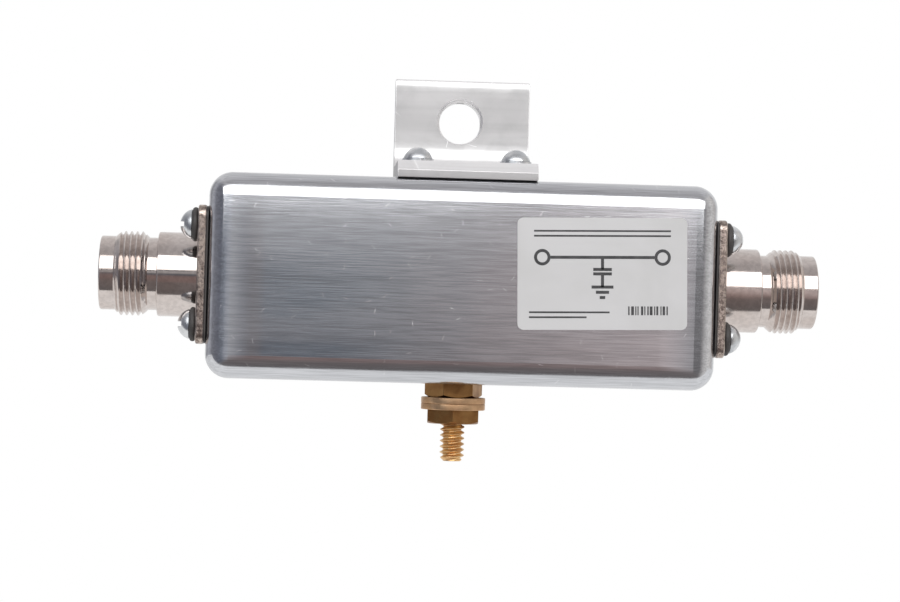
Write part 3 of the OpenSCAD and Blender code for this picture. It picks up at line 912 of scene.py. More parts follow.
FINISHES = (
    CasingFinish("box_aluminium", clean=(0.635, 0.645, 0.67), aged=(0.60, 0.61, 0.635)),
    # The bracket's flats=0.55 paints shade on its flat faces and leaves its rounded edges lighter as a
    # painted sheen.
    MetalFinish("bracket_aluminium", clean=(0.96, 0.955, 0.955), aged=(0.90, 0.895, 0.895),
                roughness=(0.50, 0.56), patch_scale=160.0, mottling=0.4, line_scale=1800.0,
                line_depth=6e-6, grain=Grain.ALONG_X, scratches=(120.0, 0.12), flats=0.55),
    MetalFinish("nickel_plate", clean=(0.655, 0.595, 0.565), aged=(0.60, 0.53, 0.495),
                roughness=(0.09, 0.14), patch_scale=130.0, mottling=0.2, line_scale=5200.0,
                line_depth=1.5e-6, belt=SawnBelt()),
    MetalFinish("zinc_plate", clean=(0.70, 0.71, 0.72), aged=(0.56, 0.58, 0.60), roughness=(0.2, 0.34),
                patch_scale=400.0, mottling=0.5, line_scale=3500.0, line_depth=3e-6),
    MetalFinish("gold_plate", clean=(0.86, 0.62, 0.26), aged=(0.72, 0.50, 0.22), roughness=(0.14, 0.26),
                patch_scale=500.0),
    MetalFinish("bolt_brass", clean=(0.86, 0.60, 0.31), aged=(0.70, 0.43, 0.20), roughness=(0.34, 0.46),
                patch_scale=260.0, mottling=0.6, line_scale=3800.0, line_depth=3e-6),
    MetalFinish("nut_brass", clean=(0.40, 0.22, 0.082), aged=(0.29, 0.14, 0.05), roughness=(0.30, 0.40),
                patch_scale=240.0, mottling=0.6, line_scale=3200.0),
    MetalFinish("washer_brass", clean=(0.70, 0.46, 0.27), aged=(0.58, 0.36, 0.20), roughness=(0.36, 0.48),
                patch_scale=240.0, mottling=0.6, line_scale=3600.0, line_depth=5e-6),
    MetalFinish("tinned_copper", clean=(0.70, 0.68, 0.64), aged=(0.58, 0.55, 0.50), roughness=(0.28, 0.42)),
    MetalFinish("bare_copper", clean=(0.78, 0.42, 0.26), aged=(0.58, 0.28, 0.17), roughness=(0.24, 0.40)),
    PlainFinish("black_rubber", clean=(0.03, 0.028, 0.027), aged=(0.055, 0.05, 0.048),
                roughness=(0.42, 0.62)),
    PlainFinish("ptfe", clean=(0.86, 0.86, 0.83), aged=(0.78, 0.78, 0.74), roughness=(0.34, 0.46)),
    PlainFinish("board_laminate", clean=(0.02, 0.13, 0.045), aged=(0.014, 0.09, 0.03),
                roughness=(0.22, 0.36), coat=0.3),
    PlainFinish("white_ceramic", clean=(0.84, 0.82, 0.76), aged=(0.74, 0.71, 0.64),
                roughness=(0.20, 0.34), coat=0.3),
    PlainFinish("brown_ceramic", clean=(0.30, 0.18, 0.08), aged=(0.22, 0.13, 0.06),
                roughness=(0.35, 0.50)),
    PlainFinish("label_film", clean=(0.61, 0.61, 0.61), aged=(0.565, 0.565, 0.56),
                roughness=(0.38, 0.50), patch_scale=45.0, mottling=0.15),
    PlainFinish(LABEL_INK, clean=(0.035, 0.036, 0.038), aged=(0.06, 0.06, 0.062),
                roughness=(0.45, 0.6), patch_scale=600.0),
)


class Workshop:
    """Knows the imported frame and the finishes, and puts finished pieces in place."""

    def __init__(self) -> None:
        """Loads the frame, and builds every finish."""
        self.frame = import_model()
        self.cad_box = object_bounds()
        effects = Effects(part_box("housing"))
        self.finishes = {finish.slot: finish.build(effects) for finish in FINISHES}
        record = self.frame["record"]
        bodies = record["behaviour"]["bodies"]
        self.slot_of = {part["node"]: part["material_slot"] for part in record["subparts"]}
        self.body_of = {node: body for body, nodes in bodies.items() for node in nodes}

    def dress(self, node: str) -> None:
        """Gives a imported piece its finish, and reports it.

        Args:
            node: Name of the piece.
        """
        piece = self.frame["nodes"][node]
        slot = self.slot_of[node]
        piece.data.materials.clear()
        piece.data.materials.append(self.finishes[slot])
        LOG.info("dressed %s with %s", node, slot)

    def stand_in(self, node: str, bm: Mesh) -> None:
        """Puts a modelled piece in the place of a packed one.

        Args:
            node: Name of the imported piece.
            bm: The modelled mesh, in the frame's own place, which is used up.
        """
        piece = self.add(node + "_detail", bm, self.slot_of[node], self.body_of[node])
        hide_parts(node)

    def add(self, name: str, bm: Mesh, slot: str, body: str, finish: str = "") -> bpy.types.Object:
        """Adds a modelled piece, and reports it.

        Args:
            name: Name of the piece.
            bm: The modelled mesh, in the frame's own place, which is used up.
            slot: Material slot of the record.
            body: Body that it moves with.
            finish: Name of its finish, where that isn't the slot's own.

        Returns:
            The new piece.
        """
        bmesh.ops.remove_doubles(bm, verts=bm.verts, dist=WELD)
        faces = len(bm.faces)
        piece = as_object(bm, name)
        piece.data.materials.append(self.finishes[finish or slot])
        piece.data.shade_smooth()
        piece.data.set_sharp_from_angle(angle=SMOOTH_ANGLE)
        piece.modifiers.new("flat_faces", "WEIGHTED_NORMAL").keep_sharp = True
        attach(piece, body)
        LOG.info("modelled %s with %d faces", name, faces)
        return piece


# Sub-assemblies


def centre(node: str) -> Vector:
    """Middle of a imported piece."""
    return sum(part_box(node), Vector()) / 2


@dataclass
class RoundHeadScrew:
    """A slotted round-head screw that stands on z = 0 with its slot along Y.

    Attributes:
        slot_l: Depth of the driver slot.
        rim: Chamfer of its turned corners.
        foot: Angle at which the dome starts above its foot, in degrees.
        reach: How far the slot's cutter reaches past the head, as a share of its radius.
        sharp: Least angle of the edges that are softened, in degrees.
    """

    head_r: float = 2.75 * MM
    head_h: float = 2.25 * MM
    shank_r: float = 1.5 * MM
    slot_w: float = 0.9 * MM
    slot_l: float = 0.8 * MM
    rim: float = 0.12 * MM
    slot_edge: float = 0.08 * MM
    foot: float = 3.0
    reach: float = 1.5
    sharp: float = 40.0

    def mesh(self, shank_l: float) -> Mesh:
        """Makes the screw.

        Args:
            shank_l: Length of its shank.

        Returns:
            The screw.
        """
        dome_r = (self.head_r ** 2 + self.head_h ** 2) / (2 * self.head_h)
        foot = math.degrees(math.asin((dome_r - self.head_h) / dome_r)) + self.foot
        dome = arc((0.0, self.head_h - dome_r), dome_r, foot, 90, steps=20)
        rim = self.rim
        turned = lathe([(0.0, -shank_l), (self.shank_r - rim, -shank_l), (self.shank_r, -shank_l + rim),
                        (self.shank_r, 0.0), (self.head_r - rim, 0.0), *dome[:-1], (0.0, self.head_h)],
                       steps=64)
        half, floor, reach = self.slot_w / 2, self.head_h - self.slot_l, self.head_r * self.reach
        slot = block((-half, -reach, floor), (half, reach, self.head_h + self.head_r))
        cut = combine(turned, [slot], "DIFFERENCE")
        near = 2 * CLOSE
        rims = [e for e in cut.edges if e.is_manifold and e.calc_face_angle() > math.radians(self.sharp)
                and all(abs(abs(v.co.x) - half) < near and v.co.z > floor + near for v in e.verts)]
        bevel(cut, rims, self.slot_edge, segments=2)
        return cut


@dataclass
class HexNut:
    """A six-sided nut on the Z axis, whose lower corners are turned off.

    Attributes:
        across: Width across the flats.
        lead: Chamfer of its hole.
        face_share: Share of the width that its lower face keeps.
        beyond: How far the turning tool reaches past the corners, as a share.
    """

    across: float = 9.5 * MM
    bore_r: float = 2.43 * MM
    corner: float = 0.1 * MM
    lead: float = 0.35 * MM
    face_share: float = 0.97
    beyond: float = 1.05

    def mesh(self, low: float, high: float, turn: float) -> Mesh:
        """Makes the nut.

        Args:
            low: Height of its lower face.
            high: Height of its upper face.
            turn: Angle of its first corner, in degrees.

        Returns:
            The nut.
        """
        corner_r = hex_corner(self.across)
        face_r = self.across / 2 * self.face_share
        turned_off = (corner_r - face_r) * math.tan(math.pi / 6)
        body = prism(6, corner_r, low, high, turn)
        bevel(body, [e for e in body.edges if along(e, 2)], self.corner, segments=3)
        reach = corner_r * self.beyond
        shoulder = low + turned_off * (reach - face_r) / (corner_r - face_r)
        top = high + PAST
        lens = lathe([(0.0, low), (face_r, low), (reach, shoulder), (reach, top), (0.0, top)],
                     steps=120)
        wide = self.bore_r + self.lead + PAST
        bore = lathe([(0.0, low - PAST), (wide, low - PAST), (self.bore_r, low + self.lead),
                      (self.bore_r, high - self.lead), (wide, top), (0.0, top)], steps=64)
        return combine(combine(body, [lens], "INTERSECT"), [bore], "DIFFERENCE")


@dataclass
class Assembly:
    """A group of pieces that are built or dressed together.

    Attributes:
        shop: Where the pieces go.
        packed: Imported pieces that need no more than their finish.
    """

    shop: Workshop
    packed: Names = ()

    def name(self, part: str) -> str:
        """Full name of a piece."""
        return part

    def build(self) -> None:
        """Builds the modelled pieces, where there are any."""

    def make(self) -> None:
        """Builds and dresses the whole group."""
        self.build()
        for part in self.packed:
            self.shop.dress(self.name(part))


@dataclass
class Box(Assembly):
    """The cast box with its rear cover, gasket and cover screws."""

    packed: Names = ("housing", "rear_cover", "cover_gasket", "cover_screws")


@dataclass
class Circuit(Assembly):
    """The board inside, with its tracks, screws and components."""

    packed: Names = ("circuit_board", "signal_tracks", "earth_track", "board_screws", "gas_tube_ceramic",
                     "gas_tube_electrodes", "coupling_capacitor", "drain_coil")


@dataclass
class Jack(Assembly):
    """A panel jack: its body, insulator, contact, gasket, screws and sealing washers.

    Stations and heights are distances from the flange's outer face, along the jack's own axis.

    Attributes:
        crests: Pair of a crest on the jack's own +X side, for each end of the box.
        slot_turns: Turn of the flange screws' slots in radians, for each end of the box.
        spigot_r: Radius of the part inside the box, which ends at spigot_end.
        lead: Chamfer of the socket's mouth.
    """

    packed: Names = ("insulator", "centre_contact", "flange_gasket", "sealing_washers")
    side: Side = Side.LEFT
    crests: Pair = (10.6 * MM, 10.25 * MM)
    slot_turns: Pair = (0.0, 1.3)
    flange_t: float = 1.6 * MM
    flange_corner: float = 2.0 * MM
    flange_edge: float = 0.38 * MM
    screw_pitch: float = 18.26 * MM
    screw_hole_r: float = 1.7 * MM
    barrel_r: float = 7.86 * MM
    barrel_l: float = 7.6 * MM
    neck_r: float = 6.75 * MM
    thread_start: float = 9.77 * MM
    thread_end: float = 15.2 * MM
    coupling: Thread = Thread(crest=7.88 * MM, root=7.2 * MM, sharpness=0.9)
    rim_r: float = 6.87 * MM
    tip: float = 18.25 * MM
    socket_r: float = 4.05 * MM
    socket_floor: float = 9.05 * MM
    insulator_r: float = 3.55 * MM
    spigot_r: float = 5.95 * MM
    spigot_end: float = -5.9 * MM
    lead: float = 0.25 * MM
    edge: float = 0.3 * MM
    washer_t: float = 1.1 * MM
    screw: RoundHeadScrew = field(default_factory=RoundHeadScrew)

    def name(self, part: str) -> str:
        """Full name of a piece."""
        return f"{self.side.name.lower()}_{part}"

    def build(self) -> None:
        """Builds the jack's body and screws."""
        place = self.placing()
        self.shop.stand_in(self.name("jack_body"), move(self.body(), place))
        self.shop.stand_in(self.name("flange_screws"), move(self.screws(), place))

    def placing(self) -> Matrix:
        """Where the jack's own frame lies: the flange's outer face on z = 0, the tip along +z.

        Returns:
            The placing.
        """
        node = self.name("jack_body")
        end_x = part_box(node)[self.side is Side.RIGHT].x
        start = Vector((end_x - self.side.value * self.tip, *centre(node).yz))
        return Matrix.Translation(start) @ rotation(90 * self.side.value, "Y")

    def body(self) -> Mesh:
        """Turned body with its coupling thread and square flange.

        Returns:
            One closed mesh, along the Z axis.
        """
        crest_at = self.crests[self.side is Side.RIGHT]
        turned = self.coupling.sleeve(self.thread_start, self.thread_end, crest_at)
        root, edge, behind = self.coupling.root, self.edge, -self.flange_t / 2
        extend(turned, self.thread_end, [
            (self.rim_r, self.thread_end + root - self.rim_r),
            *arc((self.rim_r - edge, self.tip - edge), edge, 0, 90, steps=3)])
        extend(turned, self.thread_start, [
            (self.neck_r, self.thread_start - root + self.neck_r), (self.neck_r, self.barrel_l),
            *arc((self.barrel_r - edge, self.barrel_l - edge), edge, 90, 0, steps=3),
            (self.barrel_r, behind), (self.spigot_r, behind), (self.spigot_r, self.spigot_end)])
        bmesh.ops.recalc_face_normals(turned, faces=turned.faces)
        joined = combine(turned, [self.flange()], "UNION")
        bore = lathe([(0.0, self.spigot_end - PAST), (self.insulator_r, self.spigot_end - PAST),
                      (self.insulator_r, self.socket_floor), (self.socket_r, self.socket_floor),
                      (self.socket_r, self.tip - self.lead),
                      (self.socket_r + self.lead + PAST, self.tip + PAST), (0.0, self.tip + PAST)])
        holes = [move(prism(HOLE_SIDES, self.screw_hole_r, -self.flange_t - PAST, PAST), shift(x, y))
                 for x, y in self.corners()]
        return combine(joined, [bore, *holes], "DIFFERENCE")

    def flange(self) -> Mesh:
        """Square plate with round corners and softened edges.

        Returns:
            The plate.
        """
        low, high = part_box(self.name("jack_body"))
        half = (high.z - low.z) / 2
        plate = block((-half, -half, -self.flange_t), (half, half, 0.0))
        bevel(plate, [e for e in plate.edges if along(e, 2)], self.flange_corner, segments=8)
        bevel(plate, [e for e in plate.edges if not along(e, 2)], self.flange_edge, segments=5)
        return plate

    def corners(self) -> list[Pair]:
        """Places of the flange's screws."""
        half = self.screw_pitch / 2
        return [(x, y) for x in (-half, half) for y in (-half, half)]

    def screws(self) -> Mesh:
        """The four screws, standing on their washers.

        Returns:
            The screws as one mesh.
        """
        low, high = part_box(self.name("flange_screws"))
        shank = (high.x - low.x) - self.screw.head_h
        turned = Matrix.Rotation(self.slot_turns[self.side is Side.RIGHT], 4, "Z")
        return gather(move(self.screw.mesh(shank), shift(x, y, self.washer_t) @ turned)
                      for x, y in self.corners())


@dataclass
class Bracket(Assembly):
    """The wall bracket, cut from extruded angle, with its screws, washers and nuts.

    Attributes:
        fillet, toe, slope: Depth and height of the rounded inside corner, of the upright leg's
            rounded end and of the lower leg's sloping end.
        chamfer_lift: How far the turned edge lies above the hole's own middle.
        screw_turns: Turn of each screw's slot, in degrees.
        round_steps: Number of straight parts of each rounding.
        sharp: Least angle of the edges that are softened, in degrees.
    """

    packed: Names = ("bracket_lock_washers", "bracket_nuts")
    thickness: float = 3.2 * MM
    fillet: Pair = (3.2 * MM, 5.0 * MM)
    toe: Pair = (0.7 * MM, 2.4 * MM)
    slope: Pair = (1.6 * MM, 1.8 * MM)
    hole_r: float = 4.0 * MM
    hole_chamfer: float = 0.4 * MM
    chamfer_lift: float = 0.3 * MM
    edge: float = 0.18 * MM
    screw_places: Pair = (-8.45 * MM, 9.85 * MM)
    screw_y: float = -17.5 * MM
    screw_hole_r: float = 1.7 * MM
    screw_turns: Pair = (84.0, 97.0)
    round_steps: int = 12
    sharp: float = 60.0
    screw: RoundHeadScrew = field(default_factory=RoundHeadScrew)

    def build(self) -> None:
        """Builds the angle and its screws."""
        self.shop.stand_in("mounting_bracket", self.angle())
        self.shop.stand_in("bracket_screws", self.screws())

    def angle(self) -> Mesh:
        """Extruded angle with its holes.

        Returns:
            The angle.
        """
        low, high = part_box("mounting_bracket")
        inner_y, inner_z = high.y - self.thickness, low.z + self.thickness
        angles = [math.radians(90.0 / self.round_steps * step) for step in range(self.round_steps + 1)]
        rounding = [(1 - math.cos(t), 1 - math.sin(t)) for t in angles]
        toe = [(inner_y + self.toe[0] * b, high.z - self.toe[1] * a) for a, b in rounding]
        corner = [(inner_y - self.fillet[0] * a, inner_z + self.fillet[1] * b) for a, b in rounding]
        slope = [(low.y + self.slope[0], inner_z), (low.y, inner_z - self.slope[1])]
        outline = [(high.y, low.z), (high.y, high.z), *toe, *corner, *slope, (low.y, low.z)]
        bm = bmesh.new()
        face = bm.faces.new([bm.verts.new((low.x, y, z)) for y, z in outline])
        grown = bmesh.ops.extrude_face_region(bm, geom=[face])["geom"]
        ends = [g for g in grown if isinstance(g, Vert)]
        bmesh.ops.translate(bm, vec=(high.x - low.x, 0, 0), verts=ends)
        bmesh.ops.recalc_face_normals(bm, faces=bm.faces)
        sloping = [e for e in bm.edges if along(e, 0)
                   and any(math.dist(e.verts[0].co.yz, point) < CLOSE for point in slope)]
        bevel(bm, sloping, self.edge / 3, segments=2)
        sharp = [e for e in bm.edges if e.calc_face_angle() > math.radians(self.sharp)]
        bevel(bm, sharp, self.edge, segments=2)
        forward = rotation(90, "X")
        front = self.thickness + PAST
        bore = lathe([(0.0, -PAST), (self.hole_r, -PAST), (self.hole_r, front), (0.0, front)])
        start = self.thickness - self.hole_chamfer
        cone = lathe([(0.0, start), (self.hole_r, start), (self.hole_r + self.hole_chamfer + PAST, front),
                      (0.0, front)])
        tools = [move(bore, forward), move(cone, shift(z=self.chamfer_lift) @ forward)]
        for x in self.screw_places:
            hole = prism(HOLE_SIDES, self.screw_hole_r, low.z - PAST, inner_z + PAST)
            tools.append(move(hole, shift(x, self.screw_y)))
        return combine(bm, tools, "DIFFERENCE")

    def screws(self) -> Mesh:
        """The two screws, standing on their lock washers.

        Returns:
            The screws as one mesh.
        """
        low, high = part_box("bracket_screws")
        foot = high.z - self.screw.head_h
        return gather(move(self.screw.mesh(foot - low.z), shift(x, self.screw_y, foot) @ rotation(turn, "Z"))
                      for x, turn in zip(self.screw_places, self.screw_turns))


@dataclass
class EarthTerminal(Assembly):
    """The brass bolt below the box, with its strap, nuts and washers.

    Attributes:
        crest_above_tip: Distance of a crest of the thread from the bolt's tip, on the +X side.
        head_across: Width across the flats of the bolt's head.
        nut_turns: Turn of the fixing nut and of the clamp nut, in degrees.
    """

    packed: Names = ("earth_strap",)
    thread: Thread = Thread(crest=2.30 * MM, root=1.66 * MM, sharpness=1.25, steps=64)
    crest_above_tip: float = 0.04 * MM
    head_across: float = 8.0 * MM
    head_h: float = 2.6 * MM
    head_edge: float = 0.15 * MM
    washer_bore_r: float = 2.46 * MM
    washer_edge: float = 0.14 * MM
    nut_turns: Pair = (7.5, 27.5)
    nut: HexNut = field(default_factory=HexNut)

    def build(self) -> None:
        """Builds the bolt, washers and nuts."""
        axis = centre("earth_bolt")
        place = shift(axis.x, axis.y)
        self.shop.stand_in("earth_bolt", move(self.bolt(), place))
        for name in ("earth_upper_washer", "earth_lower_washer"):
            self.shop.stand_in(name, move(self.washer(*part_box(name)), place))
        for name, turn in zip(("earth_fixing_nut", "earth_clamp_nut"), self.nut_turns):
            low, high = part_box(name)
            self.shop.stand_in(name, move(self.nut.mesh(low.z, high.z, turn), place))

    def washer(self, low: Vector, high: Vector) -> Mesh:
        """A flat ring whose outer edges are round.

        Args:
            low: Lower corner of its box.
            high: Upper corner of its box.

        Returns:
            The washer.
        """
        edge = self.washer_edge
        outer = (high.x - low.x) / 2 - edge
        return lathe([(self.washer_bore_r, low.z), *arc((outer, low.z + edge), edge, -90, 0),
                      *arc((outer, high.z - edge), edge, 0, 90), (self.washer_bore_r, high.z)],
                     steps=128)

    def bolt(self) -> Mesh:
        """The bolt with its thread and six-sided head.

        Returns:
            The bolt.
        """
        low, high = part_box("earth_bolt")
        head_z = high.z - self.head_h
        shank = self.thread.sleeve(low.z, head_z, low.z + self.crest_above_tip)
        extend(shank, low.z, [])
        extend(shank, head_z, [(self.thread.root, head_z + self.head_h / 2)])
        bmesh.ops.recalc_face_normals(shank, faces=shank.faces)
        head = prism(6, hex_corner(self.head_across), head_z, high.z)
        bevel(head, head.edges[:], self.head_edge, segments=2)
        return combine(shank, [head], "UNION")


@dataclass
class Label(Assembly):
    """The film on the front face, with a plain symbol of the circuit printed on it.

    Heights and distances across are from the film's middle.

    Attributes:
        turn: Turn of the label about Y, in degrees.
        port: Distance across and radius of the symbol's ring ports.
        symbol_z: Height of the symbol's main line.
        gap: Heights of the spark gap's plates, which are plate wide either way.
        earth: Half width and height of each bar of the earth sign.
        rule: Half width of the ruled lines.
        rules: Start, end and height of each ruled line.
        strokes_at: Left end and lower and upper height of the upright strokes.
        strokes: Width of each upright stroke and the gap after it, in hundredths of a millimetre.
    """

    size: Pair = (31.0 * MM, 20.4 * MM)
    corner: float = 1.1 * MM
    film_t: float = 0.12 * MM
    ink_t: float = 0.02 * MM
    turn: float = -1.5
    stroke: float = 0.55 * MM
    port: Pair = (11.0 * MM, 1.5 * MM)
    symbol_z: float = 3.0 * MM
    gap: Pair = (0.8 * MM, 0.0)
    plate: float = 1.7 * MM
    earth: Pairs = ((2.0 * MM, -2.4 * MM), (1.2 * MM, -3.35 * MM), (0.5 * MM, -4.3 * MM))
    rule: float = 0.16 * MM
    rules: tuple[tuple[float, float, float], ...] = (
        (-12.5 * MM, 12.5 * MM, 6.9 * MM), (-12.5 * MM, 12.5 * MM, 7.8 * MM),
        (-13.4 * MM, 1.3 * MM, -7.0 * MM), (-13.4 * MM, -2.9 * MM, -7.9 * MM))
    strokes_at: tuple[float, float, float] = (4.7 * MM, -7.5 * MM, -5.9 * MM)
    strokes: tuple[tuple[int, int], ...] = (
        (25, 30), (50, 25), (20, 20), (20, 45), (40, 20), (20, 35), (25, 20), (50, 30), (20, 20), (35, 40),
        (20, 20), (45, 25), (25, 0))

    def build(self) -> None:
        """Builds the film and the print."""
        low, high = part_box("front_label")
        middle = (low + high) / 2
        place = shift(middle.x, high.y, middle.z) @ rotation(self.turn, "Y")
        half_w, half_h = self.size[0] / 2, self.size[1] / 2
        film = block((-half_w, -self.film_t, -half_h), (half_w, 0, half_h))
        bevel(film, [e for e in film.edges if along(e, 1)], self.corner, segments=8)
        self.shop.stand_in("front_label", move(film, place))
        self.shop.add("label_print", move(self.symbol(), place), "label_film", ROOT_BODY, LABEL_INK)

    def bar(self, left: float, right: float, low: float, high: float) -> Mesh:
        """A printed bar between two distances across and two heights."""
        return block((left, -self.film_t - self.ink_t, low), (right, -self.film_t, high))

    def ring(self, x: float) -> Mesh:
        """A printed ring port.

        Args:
            x: Its distance across.

        Returns:
            The ring.
        """
        inner, outer = self.port[1] - self.stroke, self.port[1]
        made = lathe([(inner, 0.0), (outer, 0.0), (outer, self.ink_t), (inner, self.ink_t)], steps=48)
        return move(made, shift(x, -self.film_t, self.symbol_z) @ rotation(90, "X"))

    def symbol(self) -> Mesh:
        """Two ring ports joined by a line, with a spark gap down to an earth sign, and plain ruled bars.

        Returns:
            The whole print.
        """
        half, (port_x, port_r), (gap_top, gap_low) = self.stroke / 2, self.port, self.gap
        parts = [self.bar(port_r - port_x, port_x - port_r, self.symbol_z - half, self.symbol_z + half),
                 self.bar(-half, half, gap_top, self.symbol_z - half),
                 self.bar(-half, half, self.earth[0][1], gap_low - half),
                 self.ring(-port_x), self.ring(port_x)]
        for reach, z in ((self.plate, gap_top), (self.plate, gap_low), *self.earth):
            parts.append(self.bar(-reach, reach, z - half, z + half))
        for start, end, z in self.rules:
            parts.append(self.bar(start, end, z - self.rule, z + self.rule))
        left, low, high = self.strokes_at
        for width, gap in self.strokes:
            parts.append(self.bar(left, left + width * MM / 100, low, high))
            left += (width + gap) * MM / 100
        return gather(parts)


# Studio


@dataclass
class Studio:
    """Pale floor, one wide lamp above the front, and surroundings that are darker in front.

    Attributes:
        floor_white: Share of white that the camera and reflections see in it.
        lamp_way: Height of the lamp's middle seen from the object, in degrees.
        lamp_spread: Height of the lamp seen from the object, in degrees.
        level_band: Upward parts of the directions between which by_side holds all round.
        lean_blend: How softly by_height passes into by_side.
        by_height: Angle above the front in degrees, and colour of the surroundings there.
        by_side: Angle to the right of the front in degrees, and colour of the surroundings there.
    """

    floor_z: float = -0.2
    floor_front: float = -0.122
    floor_size: Pair = (3.0, 1.0)
    floor_grey: Colour = (0.86, 0.86, 0.86)
    floor_white: float = 0.85
    lamp_way: float = 32.0
    lamp_spread: float = 41.0
    lamp_far: float = 0.7
    lamp_w: float = 1.5
    lamp_radiance: float = 2.6
    level_band: tuple[float, ...] = (-0.095, -0.05, -0.004, 0.04)
    lean_blend: float = 0.25
    by_height: Stops = (
        (-180, (0.95, 0.95, 0.95)), (-64, (0.92, 0.92, 0.92)), (-57, (0.18, 0.168, 0.17)),
        (-25, (0.22, 0.19, 0.188)), (-12, (0.28, 0.20, 0.19)), (-1, (0.31, 0.215, 0.20)),
        (1.3, (0.64, 0.62, 0.63)), (3.5, (0.76, 0.74, 0.75)), (6.0, (0.80, 0.785, 0.795)),
        (8.3, (0.20, 0.195, 0.20)), (52, (0.50, 0.49, 0.50)), (78, (0.54, 0.53, 0.54)),
        (100, (0.74, 0.73, 0.74)), (180, (0.95, 0.95, 0.95)))
    by_side: Stops = (
        (-180, (0.95, 0.95, 0.95)), (-148, (0.90, 0.90, 0.90)), (-136, (0.36, 0.36, 0.38)),
        (-114, (0.52, 0.52, 0.55)), (-100, (0.44, 0.44, 0.48)), (-90, (0.27, 0.27, 0.30)),
        (-55, (0.19, 0.195, 0.23)), (-38, (0.21, 0.225, 0.265)), (-28, (0.36, 0.375, 0.42)),
        (-18, (0.50, 0.505, 0.53)), (-13.5, (0.43, 0.43, 0.45)), (-10.5, (0.27, 0.28, 0.31)),
        (-7, (0.18, 0.175, 0.19)), (-3.2, (0.155, 0.155, 0.172)), (-1.6, (0.07, 0.112, 0.155)),
        (0, (0.08, 0.125, 0.17)), (1.8, (0.125, 0.17, 0.205)), (2.9, (0.22, 0.22, 0.235)),
        (4.2, (0.41, 0.35, 0.35)), (6.2, (0.41, 0.345, 0.345)), (7.4, (0.70, 0.60, 0.59)),
        (13, (0.64, 0.57, 0.57)), (21, (0.46, 0.44, 0.45)), (28, (0.22, 0.21, 0.215)),
        (44, (0.22, 0.21, 0.215)), (58, (0.56, 0.54, 0.53)), (88, (0.90, 0.87, 0.84)),
        (104, (0.80, 0.76, 0.73)), (120, (0.62, 0.59, 0.58)), (134, (0.90, 0.90, 0.90)),
        (180, (0.95, 0.95, 0.95)))

    def make(self, aim: Vector) -> None:
        """Builds the studio.

        Args:
            aim: Middle of the object.
        """
        self._floor()
        self._lamp(aim)
        self._surroundings()

    def _floor(self) -> None:
        """Pale floor that the camera and reflections see as white, apart from shadow."""
        width, depth = self.floor_size
        bm = bmesh.new()
        bmesh.ops.create_grid(bm, x_segments=1, y_segments=1, size=0.5)
        bmesh.ops.scale(bm, vec=(width, depth, 1.0), verts=bm.verts)
        bmesh.ops.translate(bm, vec=(0, self.floor_front + depth / 2, self.floor_z), verts=bm.verts)
        floor = as_object(bm, "floor")
        material = bpy.data.materials.new("pale_floor")
        material.use_nodes = True
        nodes = material.node_tree.nodes
        nodes.remove(nodes["Principled BSDF"])
        graph = Graph(material.node_tree)
        rays = graph.add("LightPath").outputs
        reflected = graph.larger(rays["Is Glossy Ray"], rays["Is Transmission Ray"])
        seen = graph.product(graph.larger(rays["Is Camera Ray"], reflected), self.floor_white)
        paint = graph.add("BsdfDiffuse", {"Color": self.floor_grey}).outputs[0]
        white = graph.add("Emission", {"Color": (1.0, 1.0, 1.0), "Strength": 1.0}).outputs[0]
        mix = graph.add("MixShader", {0: seen, 1: paint, 2: white}).outputs[0]
        graph.feed(nodes["Material Output"].inputs[0], mix)
        floor.data.materials.append(material)
        floor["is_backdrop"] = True

    def _lamp(self, aim: Vector) -> None:
        """One wide soft lamp, above and in front of the object.

        Args:
            aim: Middle of the object.
        """
        way = math.radians(self.lamp_way)
        towards = Vector((0.0, -math.cos(way), math.sin(way)))
        tall = 2 * self.lamp_far * math.tan(math.radians(self.lamp_spread / 2))
        data = bpy.data.lights.new("soft_lamp", "AREA")
        data.shape, data.size, data.size_y = "RECTANGLE", self.lamp_w, tall
        data.energy = self.lamp_radiance * math.pi * self.lamp_w * tall
        lamp = bpy.data.objects.new("soft_lamp", data)
        lamp.location = aim + towards * self.lamp_far
        lamp.rotation_mode = "QUATERNION"
        lamp.rotation_quaternion = (-towards).to_track_quat("-Z", "Y")
        lamp.visible_camera = False
        bpy.context.scene.collection.objects.link(lamp)

    @staticmethod
    def _by_angle(graph: Graph, part: Socket, front: Socket, stops: Stops) -> Socket:
        """Colours the surroundings by an angle from the front.

        Args:
            graph: The world's graph.
            part: Part of the direction that the angle turns towards.
            front: Part of the direction towards the front.
            stops: Angle in degrees and colour of each stop.

        Returns:
            The colour.
        """
        place = graph.maths("MULTIPLY_ADD", graph.maths("ARCTAN2", part, front), 1.0 / FULL_TURN, 0.5)
        node = graph.add("ValToRGB", {0: place})
        band = node.color_ramp.elements
        for degrees, _ in stops[1:-1]:
            band.new(degrees / 360.0 + 0.5)
        for element, (degrees, colour) in zip(band, stops):
            element.position = degrees / 360.0 + 0.5
            element.color = (*colour, 1.0)
        return node.outputs[0]

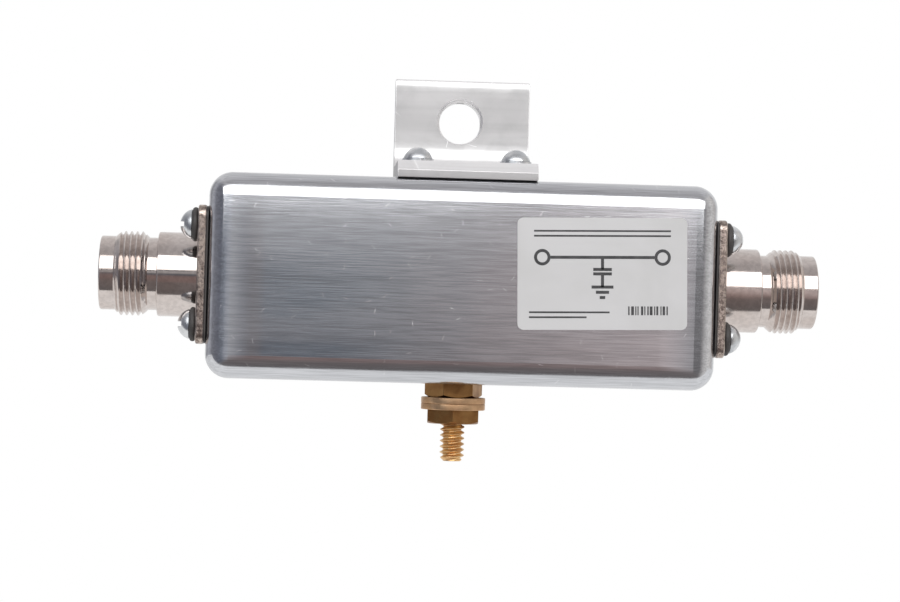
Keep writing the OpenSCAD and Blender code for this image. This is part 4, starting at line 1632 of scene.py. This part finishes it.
    def _surroundings(self) -> None:
        """Surroundings by direction: white to the camera, pale behind the object, darker in front."""
        world = bpy.data.worlds.new("studio")
        bpy.context.scene.world = world
        world.use_nodes = True
        graph = Graph(world.node_tree)
        x, y, z = graph.axes(graph.add("TexCoord").outputs["Generated"])
        front = graph.product(y, -1.0)
        by_height = self._by_angle(graph, z, front, self.by_height)
        by_side = self._by_angle(graph, x, front, self.by_side)
        lean = graph.maths("SUBTRACT", graph.size(x), graph.size(z))
        band = self.level_band
        level = graph.product(graph.span(z, *band[:2]), graph.span(z, *band[2:], 1.0, 0.0))
        sides = graph.span(lean, -self.lean_blend, self.lean_blend)
        colour = graph.blend(graph.larger(sides, level), by_height, by_side)
        camera_ray = graph.add("LightPath").outputs["Is Camera Ray"]
        seen = graph.blend(camera_ray, colour, (1.0, 1.0, 1.0))
        graph.feed(world.node_tree.nodes["Background"].inputs["Color"], seen)


@dataclass
class Viewpoint:
    """The photograph's camera, as turns about the middle of the coaxial line.

    Attributes:
        distance: Distance of the camera from that middle, along its view.
        focal_px: Focal length in the photograph's pixels.
        yaw, pitch, roll: Turns of the object about Z, then X, then the view, in degrees.
        shift: Shift of the object across and up the view.
    """

    distance: float = 480.0 * MM
    focal_px: float = 2561.0
    photo_w: float = 900.0
    sensor_w: float = 36.0
    yaw: float = 2.98
    pitch: float = -0.487
    roll: float = 1.61
    shift: Pair = (1.706 * MM, 3.442 * MM)
    clip: Pair = (0.01, 20.0)

    def make(self, middle: Vector) -> None:
        """Makes the camera.

        Args:
            middle: Middle of the coaxial line.
        """
        turns = Matrix.Identity(3)
        for degrees, axis in ((self.yaw, "Z"), (self.pitch, "X"), (self.roll, "Y")):
            turns = Matrix.Rotation(math.radians(degrees), 3, axis) @ turns
        right, ahead, up = turns
        place = middle - turns.transposed() @ Vector((self.shift[0], self.distance, self.shift[1]))
        data = bpy.data.cameras.new("camera")
        data.sensor_width = self.sensor_w
        data.lens = self.focal_px / self.photo_w * self.sensor_w
        data.clip_start, data.clip_end = self.clip
        camera = bpy.data.objects.new("camera", data)
        facing = Matrix((right, up, -ahead)).transposed()
        camera.matrix_world = Matrix.Translation(place) @ facing.to_4x4()
        bpy.context.scene.collection.objects.link(camera)
        bpy.context.scene.camera = camera


def main() -> None:
    """Builds the dressed model and its studio, in order."""
    logging.basicConfig(level=logging.INFO, format="%(name)s: %(message)s")
    shop = Workshop()
    jacks = [Jack(shop, side=side) for side in Side]
    for assembly in (Box(shop), Bracket(shop), *jacks, EarthTerminal(shop), Circuit(shop), Label(shop)):
        assembly.make()
    middle = (centre("left_jack_body") + centre("right_jack_body")) / 2
    Studio().make(middle)
    Viewpoint().make(middle)
    bpy.context.scene.view_settings.view_transform = "Standard"


if __name__ == "__main__":
    main()
